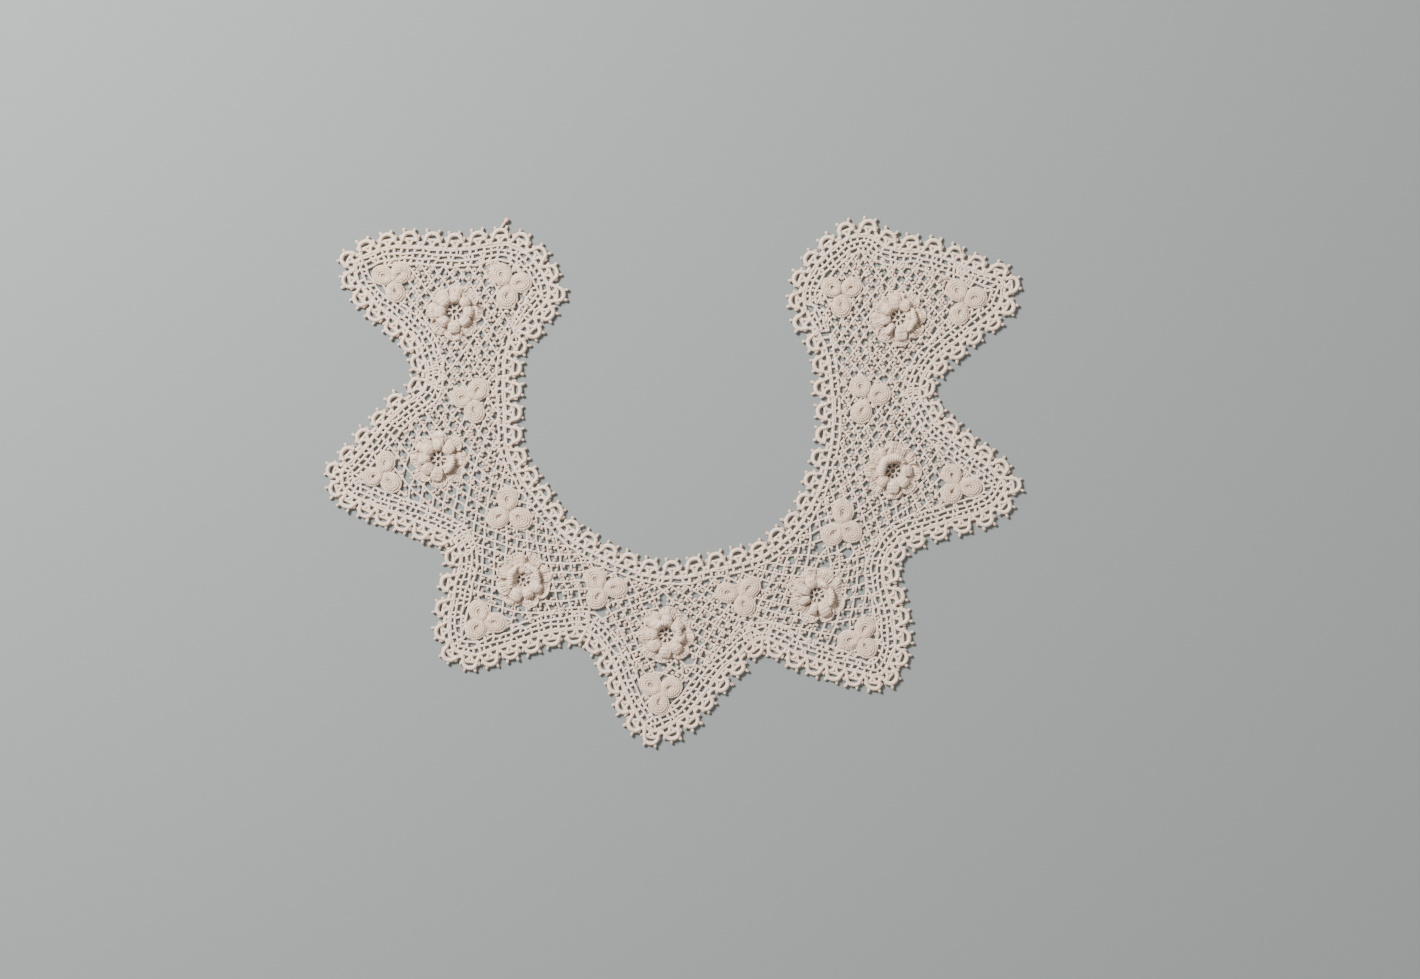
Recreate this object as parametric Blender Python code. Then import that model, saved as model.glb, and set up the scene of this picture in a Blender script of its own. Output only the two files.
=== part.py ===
"""Irish crochet lace collar, laid flat on a surface.

The collar is a picot net with roses and shamrocks set in it, framed by bands of plain rounds and
by a scalloped picot edging. Seen from above, +Y points to the two ends of the collar, where it
opens at the back of the neck, and the neck edge is the hollow between its arms. The underside
lies on z = 0, and the origin is under the middle of the collar.

Tables give places in millimetres; everything made from them is in metres.
"""
import math
from collections import namedtuple

import bmesh
import bpy
import numpy as np

MM = 0.001

# Thickness and seams
SEAM_GAP = 0.3 * MM
NET_THICKNESS = 1.0 * MM
BAND_THICKNESS = 1.2 * MM
EDGING_THICKNESS = 1.4 * MM

# Bands of plain rounds inside the foundation line
OUTER_BAND_WIDTH = 7.5 * MM
NECK_BAND_WIDTH = 4.6 * MM
BAND_BLEND = 18.0 * MM
STATION_TURN = math.radians(16.0)
THINNING = 0.3 * MM
FLAT_ANGLE = math.radians(0.5)

# Scallops of the edging, worked outwards from the foundation line
CURVE_STEP = 1.0 * MM
NORMAL_SPREAD = 7.0 * MM
SCALLOP_PITCH = 9.2 * MM
SCALLOP_MIDDLE = 4.6 * MM
SCALLOP_VALLEY = 2.6 * MM

# Half of a scallop, from its side to its middle: a picot on the base arch, the shoulder above it,
# a picot on the top arch, and the dip between the two top picots
ScallopPoint = namedtuple("ScallopPoint", "reach height")
SCALLOP = (
    ScallopPoint(4.3, 4.2),
    ScallopPoint(3.5, 4.6),
    ScallopPoint(2.8, 4.0),
    ScallopPoint(1.95, 8.5),
    ScallopPoint(1.1, 8.8),
    ScallopPoint(0.0, 7.2),
)

# Roses
ROSE_RADIUS = 12.5 * MM
ROSE_VALLEY = 10.4 * MM
ROSE_EDGE_HEIGHT = 1.0 * MM
ROSE_CROWN_HEIGHT = 1.8 * MM
ROSE_CROWN_SHARE = 0.78
HEART_RADIUS = 8.2 * MM
HEART_VALLEY = 7.0 * MM
HEART_INNER_BASE = 0.36 * MM
HEART_OUTER_BASE = 1.62 * MM
HEART_EDGE_HEIGHT = 2.8 * MM
HEART_CROWN_HEIGHT = 3.5 * MM
HEART_CROWN_SHARE = 0.8
ROSE_OPENING = 4.6 * MM
ROSE_CUT_SIDES = 16
WHEEL_RADIUS = 4.25 * MM
WHEEL_RIM = 0.75 * MM
WHEEL_THICKNESS = 1.0 * MM
WHEEL_SIDES = 12
HUB_RADIUS = 1.75 * MM
SPOKE_WIDTH = 0.75 * MM
PETALS = 8
POINTS_PER_PETAL = 4

# Shamrocks
CLOVER_SIDES = 24
CLOVER_EDGE_HEIGHT = 1.1 * MM
CROWN_SIDES = 8
CROWN_HEIGHT = 2.1 * MM
CROWN_SHARE = 0.62
DIP_HEIGHT = 1.6 * MM
KNOT_RADIUS = 2.6 * MM
CUT_KNOT_RADIUS = 4.6 * MM

# The tables' own origin, which is then moved to put the middle of the collar's box at x = y = 0
TABLE_ORIGIN = (0.525 * MM, -0.316 * MM)

# The foundation line, clockwise seen from above, as the guide points (x, y) of each stretch of
# edging. A stretch starts its lead past its first guide and ends where the next one starts.
Stretch = namedtuple("Stretch", "name side scallops lead guides")
STRETCHES = (
    Stretch("neck_left", "neck", 6, 3.2, (
        (-61.6, 77.6), (-73.4, 65.5), (-76.5, 30.8))),
    Stretch("neck_front", "neck", 17, 1.3, (
        (-76.0, 17.3), (-62.6, -7.4), (-48.6, -23.6), (-30.6, -34.4), (-13.1, -41.2),
        (-2.2, -42.5), (18.4, -38.9), (38.7, -33.5), (54.5, -20.9))),
    Stretch("neck_right", "neck", 8, -4.2, (
        (65.7, -1.1), (71.1, 20.9), (70.7, 44.3), (66.6, 65.0))),
    Stretch("end_right", "outer", 13, 2.0, (
        (59.9, 76.7), (58.1, 83.9), (59.9, 91.1), (71.1, 105.5), (78.8, 110.5), (87.3, 111.4),
        (95.0, 106.4), (110.2, 104.2), (138.6, 94.3))),
    Stretch("point_7_low", "outer", 6, 9.0, (
        (147.6, 90.7), (146.7, 82.6), (131.0, 67.7), (113.9, 52.0))),
    Stretch("point_6_up", "outer", 5, 3.9, (
        (109.8, 41.6), (113.9, 31.3), (128.7, 16.9), (144.0, 4.7))),
    Stretch("point_6_low", "outer", 6, -5.6, (
        (148.5, -1.1), (145.8, -6.5), (117.5, -18.7))),
    Stretch("point_5_side", "outer", 7, -1.2, (
        (99.9, -25.9), (94.5, -33.5), (98.1, -62.3), (98.5, -74.0), (95.9, -81.2))),
    Stretch("point_5_low", "outer", 6, -0.2, (
        (91.8, -86.2), (82.4, -84.4), (55.4, -76.3))),
    Stretch("point_4_right", "outer", 7, -1.4, (
        (39.1, -69.5), (25.7, -79.4), (-2.2, -108.2))),
    Stretch("point_4_left", "outer", 5, 4.5, (
        (-10.8, -110.9), (-15.8, -105.1), (-34.2, -70.4))),
    Stretch("point_3_low", "outer", 6, -0.4, (
        (-39.1, -65.9), (-51.8, -65.9), (-79.2, -73.6), (-92.2, -76.7))),
    Stretch("point_3_side", "outer", 5, -5.7, (
        (-99.0, -74.5), (-101.2, -67.3), (-98.1, -44.3), (-96.3, -30.8))),
    Stretch("point_2_low", "outer", 8, 0.0, (
        (-99.0, -25.4), (-111.6, -18.7), (-139.1, -7.9), (-148.1, -2.9))),
    Stretch("point_2_up", "outer", 5, 3.7, (
        (-149.4, 5.6), (-144.5, 10.6), (-124.2, 33.1), (-112.0, 43.9))),
    Stretch("point_1_low", "outer", 5, -0.2, (
        (-111.2, 48.8), (-114.3, 61.0), (-137.7, 84.8))),
    Stretch("end_left", "outer", 14, -4.7, (
        (-142.7, 92.0), (-143.6, 98.8), (-135.5, 103.7), (-96.8, 105.1), (-71.1, 106.4),
        (-59.4, 93.8), (-56.7, 84.4))),
)

Rose = namedtuple("Rose", "name x y turn")
ROSES = (
    Rose("rose_1", -99.0, 77.2, 42.0),
    Rose("rose_2", -106.2, 11.0, 0.0),
    Rose("rose_3", -68.0, -43.4, 17.0),
    Rose("rose_4", -4.0, -68.2, 40.0),
    Rose("rose_5", 63.9, -50.2, 25.0),
    Rose("rose_6", 98.1, 5.6, 43.0),
    Rose("rose_7", 100.4, 74.5, 8.0),
)

Shamrock = namedtuple("Shamrock", "name coils radius")
SHAMROCKS = (
    Shamrock("shamrock_a", ((-131.6, 93.6), (-123.3, 94.3), (-125.6, 85.7)), 4.5),
    Shamrock("shamrock_b", ((-78.3, 94.3), (-68.9, 90.2), (-75.4, 83.3)), 4.7),
    Shamrock("shamrock_c", ((-96.3, 38.7), (-88.2, 42.5), (-90.0, 32.0)), 4.7),
    Shamrock("shamrock_d", ((-130.0, 10.1), (-136.1, 2.9), (-127.4, 0.2)), 4.5),
    Shamrock("shamrock_e", ((-75.2, -6.5), (-79.7, -15.5), (-68.9, -16.0)), 4.9),
    Shamrock("shamrock_f", ((-88.2, -56.9), (-89.6, -65.5), (-80.1, -62.6)), 4.7),
    Shamrock("shamrock_g", ((-36.0, -42.5), (-26.1, -47.0), (-35.1, -51.5)), 4.8),
    Shamrock("shamrock_h", ((-11.3, -90.2), (-1.4, -91.6), (-7.2, -99.2)), 4.8),
    Shamrock("shamrock_i", ((23.0, -49.0), (33.8, -46.6), (31.5, -55.1)), 4.8),
    Shamrock("shamrock_j", ((85.5, -64.6), (77.9, -70.4), (86.2, -74.0)), 4.7),
    Shamrock("shamrock_k", ((75.6, -12.4), (70.7, -23.0), (79.2, -21.8)), 5.0),
    Shamrock("shamrock_l", ((124.2, 4.3), (124.2, -4.3), (133.2, -1.6)), 4.6),
    Shamrock("shamrock_m", ((83.3, 43.9), (92.3, 40.3), (83.7, 31.7)), 4.8),
    Shamrock("shamrock_n", ((70.2, 88.4), (79.7, 88.4), (74.7, 79.2)), 4.5),
    Shamrock("shamrock_o", ((126.5, 87.1), (135.5, 83.5), (127.8, 75.8)), 4.7),
)

# Cotton finishes: base colour, roughness
FINISHES = {
    "net_cotton": ((0.80, 0.76, 0.66, 1.0), 0.85),
    "edging_cotton": ((0.84, 0.79, 0.66, 1.0), 0.85),
    "rose_cotton": ((0.82, 0.78, 0.68, 1.0), 0.85),
    "shamrock_cotton": ((0.83, 0.77, 0.63, 1.0), 0.85),
}


# ---------------------------------------------------------------- scene, finishes, pieces

def clear_scene():
    for item in list(bpy.data.objects):
        bpy.data.objects.remove(item, do_unlink=True)


def new_collection(name):
    collection = bpy.data.collections.new(name)
    bpy.context.scene.collection.children.link(collection)
    return collection


def make_finish(name):
    colour, roughness = FINISHES[name]
    finish = bpy.data.materials.new(name)
    finish.use_nodes = True
    shader = finish.node_tree.nodes["Principled BSDF"]
    shader.inputs["Base Color"].default_value = colour
    shader.inputs["Roughness"].default_value = roughness
    shader.inputs["Metallic"].default_value = 0.0
    return finish


def flat_piece(name, loops, thickness, base=0.0):
    """A sheet of even thickness inside closed loops of (x, y); later loops are holes."""
    curve = bpy.data.curves.new(name, "CURVE")
    curve.dimensions = "2D"
    curve.fill_mode = "BOTH"
    curve.extrude = thickness / 2
    for loop in loops:
        spline = curve.splines.new("POLY")
        spline.points.add(len(loop) - 1)
        spline.use_cyclic_u = True
        for point, (x, y) in zip(spline.points, loop):
            point.co = (x, y, 0.0, 1.0)
    piece = bpy.data.objects.new(name, curve)
    piece.location.z = base + thickness / 2
    return piece


def curve_to_mesh(piece):
    """The same piece, with its modifiers applied, as a closed mesh; it replaces the piece."""
    name = piece.name
    if not piece.users_collection:
        bpy.context.scene.collection.objects.link(piece)
    bpy.context.view_layer.update()
    graph = bpy.context.evaluated_depsgraph_get()
    mesh = bpy.data.meshes.new_from_object(piece.evaluated_get(graph))
    shell = bmesh.new()
    shell.from_mesh(mesh)
    bmesh.ops.remove_doubles(shell, verts=shell.verts, dist=0.01 * MM)
    bmesh.ops.recalc_face_normals(shell, faces=shell.faces)
    shell.to_mesh(mesh)
    shell.free()
    solid = bpy.data.objects.new(name, mesh)
    solid.matrix_world = piece.matrix_world.copy()
    bpy.data.objects.remove(piece, do_unlink=True)
    solid.name = name
    return solid


def add_boolean(piece, tool, operation):
    cut = piece.modifiers.new(tool.name, "BOOLEAN")
    cut.operation = operation
    cut.object = tool
    cut.solver = "EXACT"


# ---------------------------------------------------------------- the foundation line

class Foundation:
    """The closed line that the net and the bands lie inside and the edging is worked out from."""

    def __init__(self):
        guides = [guide for stretch in STRETCHES for guide in stretch.guides]
        self.points, guide_index = smooth_loop(np.array(guides) * MM)
        tangent = np.roll(self.points, -1, axis=0) - np.roll(self.points, 1, axis=0)
        step = np.linalg.norm(tangent, axis=1, keepdims=True)
        tangent = tangent / step
        self.normals = np.column_stack((-tangent[:, 1], tangent[:, 0]))
        self.fan = spread_normals(self.normals)
        middle = self.points + self.fan * SCALLOP_MIDDLE
        lengths = np.linalg.norm(np.roll(middle, -1, axis=0) - middle, axis=1)
        self.middle_length = np.concatenate(([0.0], np.cumsum(np.tile(lengths, 2))))
        first_guides = np.cumsum([0] + [len(stretch.guides) for stretch in STRETCHES])
        self.starts = [guide_index[i] for i in first_guides[:-1]] + [len(self.points)]

    def at(self, place, offset=0.0, fan=False):
        """The point at a fractional index, moved outwards by offset."""
        count = len(self.points)
        low = int(math.floor(place))
        share = place - low
        directions = self.fan if fan else self.normals
        point = self.points[low % count] * (1 - share) + self.points[(low + 1) % count] * share
        normal = directions[low % count] * (1 - share) + directions[(low + 1) % count] * share
        return point + normal / np.linalg.norm(normal) * offset

    def scallop_places(self, number):
        """Fractional indices of the scallop boundaries of one stretch, even at mid height."""
        following = STRETCHES[(number + 1) % len(STRETCHES)]
        start = self.middle_length[self.starts[number]] + STRETCHES[number].lead * MM
        end = self.middle_length[self.starts[number + 1]] + following.lead * MM
        targets = np.linspace(start, end, STRETCHES[number].scallops + 1)
        return np.interp(targets, self.middle_length, np.arange(len(self.middle_length)))


def smooth_loop(guides):
    """Sample a smooth closed curve through the guides; also gives each guide's sample index."""
    following = np.roll(guides, -1, axis=0)
    chords = np.linalg.norm(following - guides, axis=1)
    slopes = (following - guides) / chords[:, None]
    before = np.roll(chords, 1)
    slopes_before = np.roll(slopes, 1, axis=0)
    tangents = slopes_before * chords[:, None] + slopes * before[:, None]
    tangents /= (chords + before)[:, None]
    samples, index = [], []
    for i, chord in enumerate(chords):
        index.append(len(samples))
        steps = max(2, round(chord / CURVE_STEP))
        start, end = guides[i], following[i]
        leave, arrive = tangents[i] * chord, tangents[(i + 1) % len(guides)] * chord
        for t in np.arange(steps) / steps:
            samples.append((2 * t**3 - 3 * t**2 + 1) * start + (t**3 - 2 * t**2 + t) * leave
                           + (3 * t**2 - 2 * t**3) * end + (t**3 - t**2) * arrive)
    return np.array(samples), index


def spread_normals(normals):
    """Normals averaged along the line, so that scallops in a sharp bend do not cross."""
    reach = int(2 * NORMAL_SPREAD / CURVE_STEP)
    total = np.zeros_like(normals)
    for shift in range(-reach, reach + 1):
        weight = math.exp(-0.5 * (shift * CURVE_STEP / NORMAL_SPREAD) ** 2)
        total += weight * np.roll(normals, shift, axis=0)
    return total / np.linalg.norm(total, axis=1, keepdims=True)


def distance_to_loop(point, loop):
    following = np.roll(loop, -1, axis=0)
    side = following - loop
    share = np.einsum("ij,ij->i", point - loop, side) / np.einsum("ij,ij->i", side, side)
    nearest = loop + np.clip(share, 0.0, 1.0)[:, None] * side
    return np.linalg.norm(nearest - point, axis=1).min()


# ---------------------------------------------------------------- edging

def scallop_outline(line, start, end):
    """The valley, then a scallop with four picots, as wide as the foundation line lets it be."""
    loop = [line.at(start, SCALLOP_VALLEY, fan=True)]
    points = [(-point.reach, point.height) for point in SCALLOP]
    points += [(point.reach, point.height) for point in reversed(SCALLOP[:-1])]
    for reach, height in points:
        pitch = np.linalg.norm(line.at(end, height * MM, fan=True)
                               - line.at(start, height * MM, fan=True))
        place = (start + end) / 2 + (end - start) * reach * MM / max(pitch, SCALLOP_PITCH)
        loop.append(line.at(place, height * MM, fan=True))
    return loop


def stations(line, places):
    """Places along the foundation line: each scallop's ends, and its middle where it bends."""
    chosen = [places[0]]
    for start, end in zip(places[:-1], places[1:]):
        first = line.at(start + 0.5, 0.0) - line.at(start, 0.0)
        last = line.at(end, 0.0) - line.at(end - 0.5, 0.0)
        turn = abs(math.atan2(first[0] * last[1] - first[1] * last[0], first @ last))
        if turn > STATION_TURN:
            chosen.append((start + end) / 2)
        chosen.append(end)
    return chosen


def edging_loop(line, number):
    """The closed outline of one stretch of edging."""
    places = line.scallop_places(number)
    half_gap = SEAM_GAP / 2
    trim = half_gap / CURVE_STEP
    loop = []
    for start, end in zip(places[:-1], places[1:]):
        loop += scallop_outline(line, start, end)
    loop[0] = line.at(places[0] + trim, SCALLOP_VALLEY, fan=True)
    loop.append(line.at(places[-1] - trim, SCALLOP_VALLEY, fan=True))
    inner = stations(line, places)
    inner[0] += trim
    inner[-1] -= trim
    loop += [line.at(place, half_gap) for place in reversed(inner)]
    return loop


# ---------------------------------------------------------------- bands and net

def band_widths(line):
    """The band's width at each sample: narrow along the neck, wide elsewhere."""
    count = len(line.points)
    neck_end = line.starts[sum(stretch.side == "neck" for stretch in STRETCHES)]
    widths = np.full(count, OUTER_BAND_WIDTH)
    for i in range(neck_end + 1):
        reach = min(i, neck_end - i) * CURVE_STEP / BAND_BLEND
        blend = min(1.0, reach) ** 2 * (3 - 2 * min(1.0, reach))
        widths[i] += (NECK_BAND_WIDTH - OUTER_BAND_WIDTH) * blend
    return widths, neck_end


def inset_indices(line, widths):
    """Samples whose inset point is not folded over in a corner, thinned on straight runs."""
    inset = line.points - line.normals * (widths + SEAM_GAP)[:, None]
    kept = [i for i, point in enumerate(inset)
            if distance_to_loop(point, line.points) > 0.985 * (widths[i] + SEAM_GAP)]
    return thin_out(inset, kept)


def thin_out(points, kept):
    """Drop indices whose points lie within THINNING of the line through their neighbours."""
    if len(kept) < 3:
        return kept
    start, end = points[kept[0]], points[kept[-1]]
    chord = end - start
    length = np.linalg.norm(chord)
    offsets = [abs(chord[0] * (points[i] - start)[1] - chord[1] * (points[i] - start)[0]) / length
               for i in kept]
    far = int(np.argmax(offsets))
    if offsets[far] < THINNING:
        return [kept[0], kept[-1]]
    return thin_out(points, kept[:far + 1])[:-1] + thin_out(points, kept[far:])


def band_loop(line, widths, inner_indices, first_stretch, last_stretch):
    """The closed outline of a band that runs along some stretches of the foundation line."""
    half_gap = SEAM_GAP / 2
    trim = half_gap / CURVE_STEP
    outer = []
    for number in range(first_stretch, last_stretch + 1):
        run = stations(line, line.scallop_places(number))
        outer += run if not outer else run[1:]
    first, last = outer[0] + trim, outer[-1] - trim
    inner = [first] + [i for i in inner_indices if first + 1 < i < last - 1] + [last]
    outer[0], outer[-1] = first, last
    count = len(line.points)
    loop = [line.at(place, -half_gap) for place in outer]
    loop += [line.at(place, -widths[int(round(place)) % count]) for place in reversed(inner)]
    return loop


# ---------------------------------------------------------------- roses

def petal_loop(turn, valley, tip):
    """Outline of a round of petals; equal radii give a plain circle."""
    count = PETALS * POINTS_PER_PETAL
    loop = []
    for number in range(count):
        angle = 2 * math.pi * number / count
        lobe = abs(math.cos(PETALS * angle / 2))
        radius = valley + (tip - valley) * (1 - (1 - lobe) ** 2)
        loop.append((radius * math.cos(angle + turn), radius * math.sin(angle + turn)))
    return loop


def petal_round(name, rose, valley, tip, crown_share, heights):
    """A ring of cupped petals: opening, rim underside, rim top and crown, at four heights."""
    turn = math.radians(rose.turn)
    loops = (petal_loop(turn, ROSE_OPENING, ROSE_OPENING),
             petal_loop(turn, valley, tip),
             petal_loop(turn, 0.98 * valley, 0.98 * tip),
             petal_loop(turn, crown_share * valley, crown_share * tip))
    shell = bmesh.new()
    rings = [[shell.verts.new((rose.x * MM + x, rose.y * MM + y, z)) for x, y in loop]
             for loop, z in zip(loops, heights)]
    for this, following in zip(rings, rings[1:] + rings[:1]):
        for i in range(len(this)):
            j = (i + 1) % len(this)
            shell.faces.new((this[i], this[j], following[j], following[i]))
    bmesh.ops.recalc_face_normals(shell, faces=shell.faces)
    mesh = bpy.data.meshes.new(name)
    shell.to_mesh(mesh)
    shell.free()
    return bpy.data.objects.new(name, mesh)


def rose_petals(rose):
    """The outer round, which rises from the net and dips to the middle."""
    heights = (0.0, 0.0, ROSE_EDGE_HEIGHT, ROSE_CROWN_HEIGHT)
    return petal_round(rose.name + "_petals", rose, ROSE_VALLEY, ROSE_RADIUS, ROSE_CROWN_SHARE,
                       heights)


def rose_heart(rose):
    """The raised round of smaller petals, which lies on the outer one."""
    heights = (HEART_INNER_BASE, HEART_OUTER_BASE, HEART_EDGE_HEIGHT, HEART_CROWN_HEIGHT)
    return petal_round(rose.name + "_heart", rose, HEART_VALLEY, HEART_RADIUS, HEART_CROWN_SHARE,
                       heights)


def rose_wheel(rose):
    """The open middle: a rim, a hub ring and spokes between them."""
    rim_inside = WHEEL_RADIUS - WHEEL_RIM
    turn = math.radians(rose.turn)
    centre = np.array((rose.x, rose.y)) * MM

    def arc(radius, start, end, points):
        return [centre + radius * np.array((math.cos(a), math.sin(a)))
                for a in np.linspace(start, end, points)]

    loops = [arc(WHEEL_RADIUS, 0.0, 2 * math.pi * (1 - 1 / WHEEL_SIDES), WHEEL_SIDES)]
    sector = 2 * math.pi / PETALS
    for number in range(PETALS):
        start = turn + number * sector
        outer_lap = SPOKE_WIDTH / 2 / rim_inside
        inner_lap = SPOKE_WIDTH / 2 / HUB_RADIUS
        loops.append(arc(rim_inside, start + outer_lap, start + sector - outer_lap, 2)
                     + arc(HUB_RADIUS, start + sector - inner_lap, start + inner_lap, 2))
    return flat_piece(rose.name + "_wheel", loops, WHEEL_THICKNESS)


# ---------------------------------------------------------------- shamrocks

def clover_outline(centres, radius, knot):
    """Loop round three coils and the knot between them, by angle from the middle."""
    middle = sum(centres) / len(centres)
    first = centres[0] - middle
    phase = math.atan2(first[1], first[0])
    loop = []
    for number in range(CLOVER_SIDES):
        angle = phase + 2 * math.pi * number / CLOVER_SIDES
        ray = np.array((math.cos(angle), math.sin(angle)))
        reach = knot
        for centre in centres:
            arm = centre - middle
            along = float(arm @ ray)
            aside = float(arm[0] * ray[1] - arm[1] * ray[0])
            if along > 0 and abs(aside) < radius:
                reach = max(reach, along + math.sqrt(radius ** 2 - aside ** 2))
        loop.append(middle + reach * ray)
    return loop


def shamrock_places(shamrock):
    return [np.array(place) * MM for place in shamrock.coils]


def make_shamrock(shamrock):
    """Three coiled buttons joined at a knot; each has a raised ridge and a dip in its middle."""
    centres = shamrock_places(shamrock)
    radius = shamrock.radius * MM
    outline = clover_outline(centres, radius, KNOT_RADIUS)
    shell = bmesh.new()
    low = [shell.verts.new((x, y, 0.0)) for x, y in outline]
    high = [shell.verts.new((x, y, CLOVER_EDGE_HEIGHT)) for x, y in outline]
    for i in range(CLOVER_SIDES):
        j = (i + 1) % CLOVER_SIDES
        shell.faces.new((low[i], low[j], high[j], high[i]))
    shell.faces.new(tuple(reversed(low)))
    rims = [shell.edges.get((high[i], high[(i + 1) % CLOVER_SIDES])) for i in range(CLOVER_SIDES)]
    for centre in centres:
        dip = shell.verts.new((centre[0], centre[1], DIP_HEIGHT))
        crown = []
        for number in range(CROWN_SIDES):
            angle = 2 * math.pi * number / CROWN_SIDES
            crown.append(shell.verts.new((centre[0] + CROWN_SHARE * radius * math.cos(angle),
                                          centre[1] + CROWN_SHARE * radius * math.sin(angle),
                                          CROWN_HEIGHT)))
        for i in range(CROWN_SIDES):
            shell.faces.new((crown[i], crown[(i + 1) % CROWN_SIDES], dip))
            rims.append(shell.edges.get((crown[i], crown[(i + 1) % CROWN_SIDES])))
    bmesh.ops.triangle_fill(shell, edges=rims, use_beauty=True, normal=(0.0, 0.0, 1.0))
    bmesh.ops.recalc_face_normals(shell, faces=shell.faces)
    mesh = bpy.data.meshes.new(shamrock.name)
    shell.to_mesh(mesh)
    shell.free()
    return bpy.data.objects.new(shamrock.name, mesh)


# ---------------------------------------------------------------- cut-outs for the motifs

def round_outline(x, y, radius, sides):
    """A polygon that stays outside a circle."""
    reach = radius / math.cos(math.pi / sides)
    angles = [2 * math.pi * (i + 0.5) / sides for i in range(sides)]
    return [(x + reach * math.cos(a), y + reach * math.sin(a)) for a in angles]


def motif_cutter(cutters):
    """One mesh of separate prisms, a little wider than the roses and shamrocks."""
    low, high = -2 * MM, 6 * MM
    outlines = [round_outline(rose.x * MM, rose.y * MM, ROSE_RADIUS + SEAM_GAP, ROSE_CUT_SIDES)
                for rose in ROSES]
    for shamrock in SHAMROCKS:
        outlines.append(clover_outline(shamrock_places(shamrock),
                                       shamrock.radius * MM + 1.2 * SEAM_GAP, CUT_KNOT_RADIUS))
    tool = curve_to_mesh(flat_piece("motif_cutter", outlines, high - low, low))
    tool.hide_render = True
    tool.display_type = "WIRE"
    cutters.objects.link(tool)
    return tool


def cut_cloth(name, loop, thickness, tool):
    """A sheet with the motifs' places cut out, and the scraps that come loose left off."""
    sheet = curve_to_mesh(flat_piece(name, [loop], thickness))
    add_boolean(sheet, tool, "DIFFERENCE")
    piece = curve_to_mesh(sheet)
    shell = bmesh.new()
    shell.from_mesh(piece.data)
    largest = max(islands(shell), key=len)
    bmesh.ops.delete(shell, geom=[vert for vert in shell.verts if vert not in largest],
                     context="VERTS")
    bmesh.ops.dissolve_limit(shell, angle_limit=FLAT_ANGLE, verts=shell.verts, edges=shell.edges)
    shell.to_mesh(piece.data)
    shell.free()
    return piece


def islands(shell):
    """The sets of vertices that hang together."""
    left = set(shell.verts)
    found = []
    while left:
        island = set()
        waiting = [left.pop()]
        while waiting:
            vert = waiting.pop()
            island.add(vert)
            for edge in vert.link_edges:
                other = edge.other_vert(vert)
                if other in left:
                    left.remove(other)
                    waiting.append(other)
        found.append(island)
    return found


# ---------------------------------------------------------------- the collar

def main():
    clear_scene()
    collar = new_collection("lace_collar")
    cutters = new_collection("cutters")
    finishes = {name: make_finish(name) for name in FINISHES}

    def add(piece, finish):
        if piece.name not in collar.objects:
            collar.objects.link(piece)
        piece.location.x, piece.location.y = TABLE_ORIGIN
        piece.data.materials.clear()
        piece.data.materials.append(finishes[finish])

    line = Foundation()
    widths, neck_end = band_widths(line)
    inner_indices = inset_indices(line, widths)
    tool = motif_cutter(cutters)

    net_loop = [line.at(i, -(widths[i] + SEAM_GAP)) for i in inner_indices]
    neck_count = sum(stretch.side == "neck" for stretch in STRETCHES)
    cloth = (
        ("ground_net", net_loop, NET_THICKNESS),
        ("border_band_neck", band_loop(line, widths, inner_indices, 0, neck_count - 1),
         BAND_THICKNESS),
        ("border_band_outer", band_loop(line, widths, inner_indices, neck_count,
                                        len(STRETCHES) - 1), BAND_THICKNESS),
    )
    for name, loop, thickness in cloth:
        add(cut_cloth(name, loop, thickness, tool), "net_cotton")

    for number, stretch in enumerate(STRETCHES):
        add(flat_piece("edging_" + stretch.name, [edging_loop(line, number)], EDGING_THICKNESS),
            "edging_cotton")
    for rose in ROSES:
        for piece in (rose_petals(rose), rose_heart(rose), rose_wheel(rose)):
            add(piece, "rose_cotton")
    for shamrock in SHAMROCKS:
        add(make_shamrock(shamrock), "shamrock_cotton")


main()
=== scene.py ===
"""Irish crochet lace collar: the worked cotton that lies over the collar's construction solids.

The frame gives the solids, in metres, with +Y towards the two ends of the collar. Every cord of
the lace is laid along a path that is worked out here, and Geometry Nodes turn the paths into
crochet chains and the picot points into picots.
"""
import math
from collections import namedtuple

import bpy
import numpy as np
from bpy.props import FloatProperty, FloatVectorProperty, IntProperty, PointerProperty
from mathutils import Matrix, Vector


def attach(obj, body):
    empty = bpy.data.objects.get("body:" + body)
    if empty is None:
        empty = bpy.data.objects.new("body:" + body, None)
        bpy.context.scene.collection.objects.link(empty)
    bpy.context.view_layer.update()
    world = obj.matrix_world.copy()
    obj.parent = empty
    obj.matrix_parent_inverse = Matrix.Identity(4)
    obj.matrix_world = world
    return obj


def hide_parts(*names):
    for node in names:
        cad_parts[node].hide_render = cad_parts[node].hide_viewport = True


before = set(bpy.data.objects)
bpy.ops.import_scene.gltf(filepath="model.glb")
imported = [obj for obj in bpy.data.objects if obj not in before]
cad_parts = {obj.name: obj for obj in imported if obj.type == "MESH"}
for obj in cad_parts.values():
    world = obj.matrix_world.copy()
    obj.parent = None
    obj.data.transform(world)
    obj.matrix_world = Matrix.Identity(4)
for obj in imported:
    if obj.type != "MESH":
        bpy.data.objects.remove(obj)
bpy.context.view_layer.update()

bl_info = {
    "name": "Irish crochet lace collar",
    "version": (1, 0, 0),
    "blender": (4, 5, 0),
    "location": "View3D > Sidebar > Lace",
    "description": "Works the net, borders, edging, roses and shamrocks of a lace collar",
    "category": "Add Mesh",
}

MM = 0.001
TABLE_ORIGIN = np.array((0.525, -0.316)) * MM
SEED = 1907

# ---------------------------------------------------------------- the collar's tables

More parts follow.
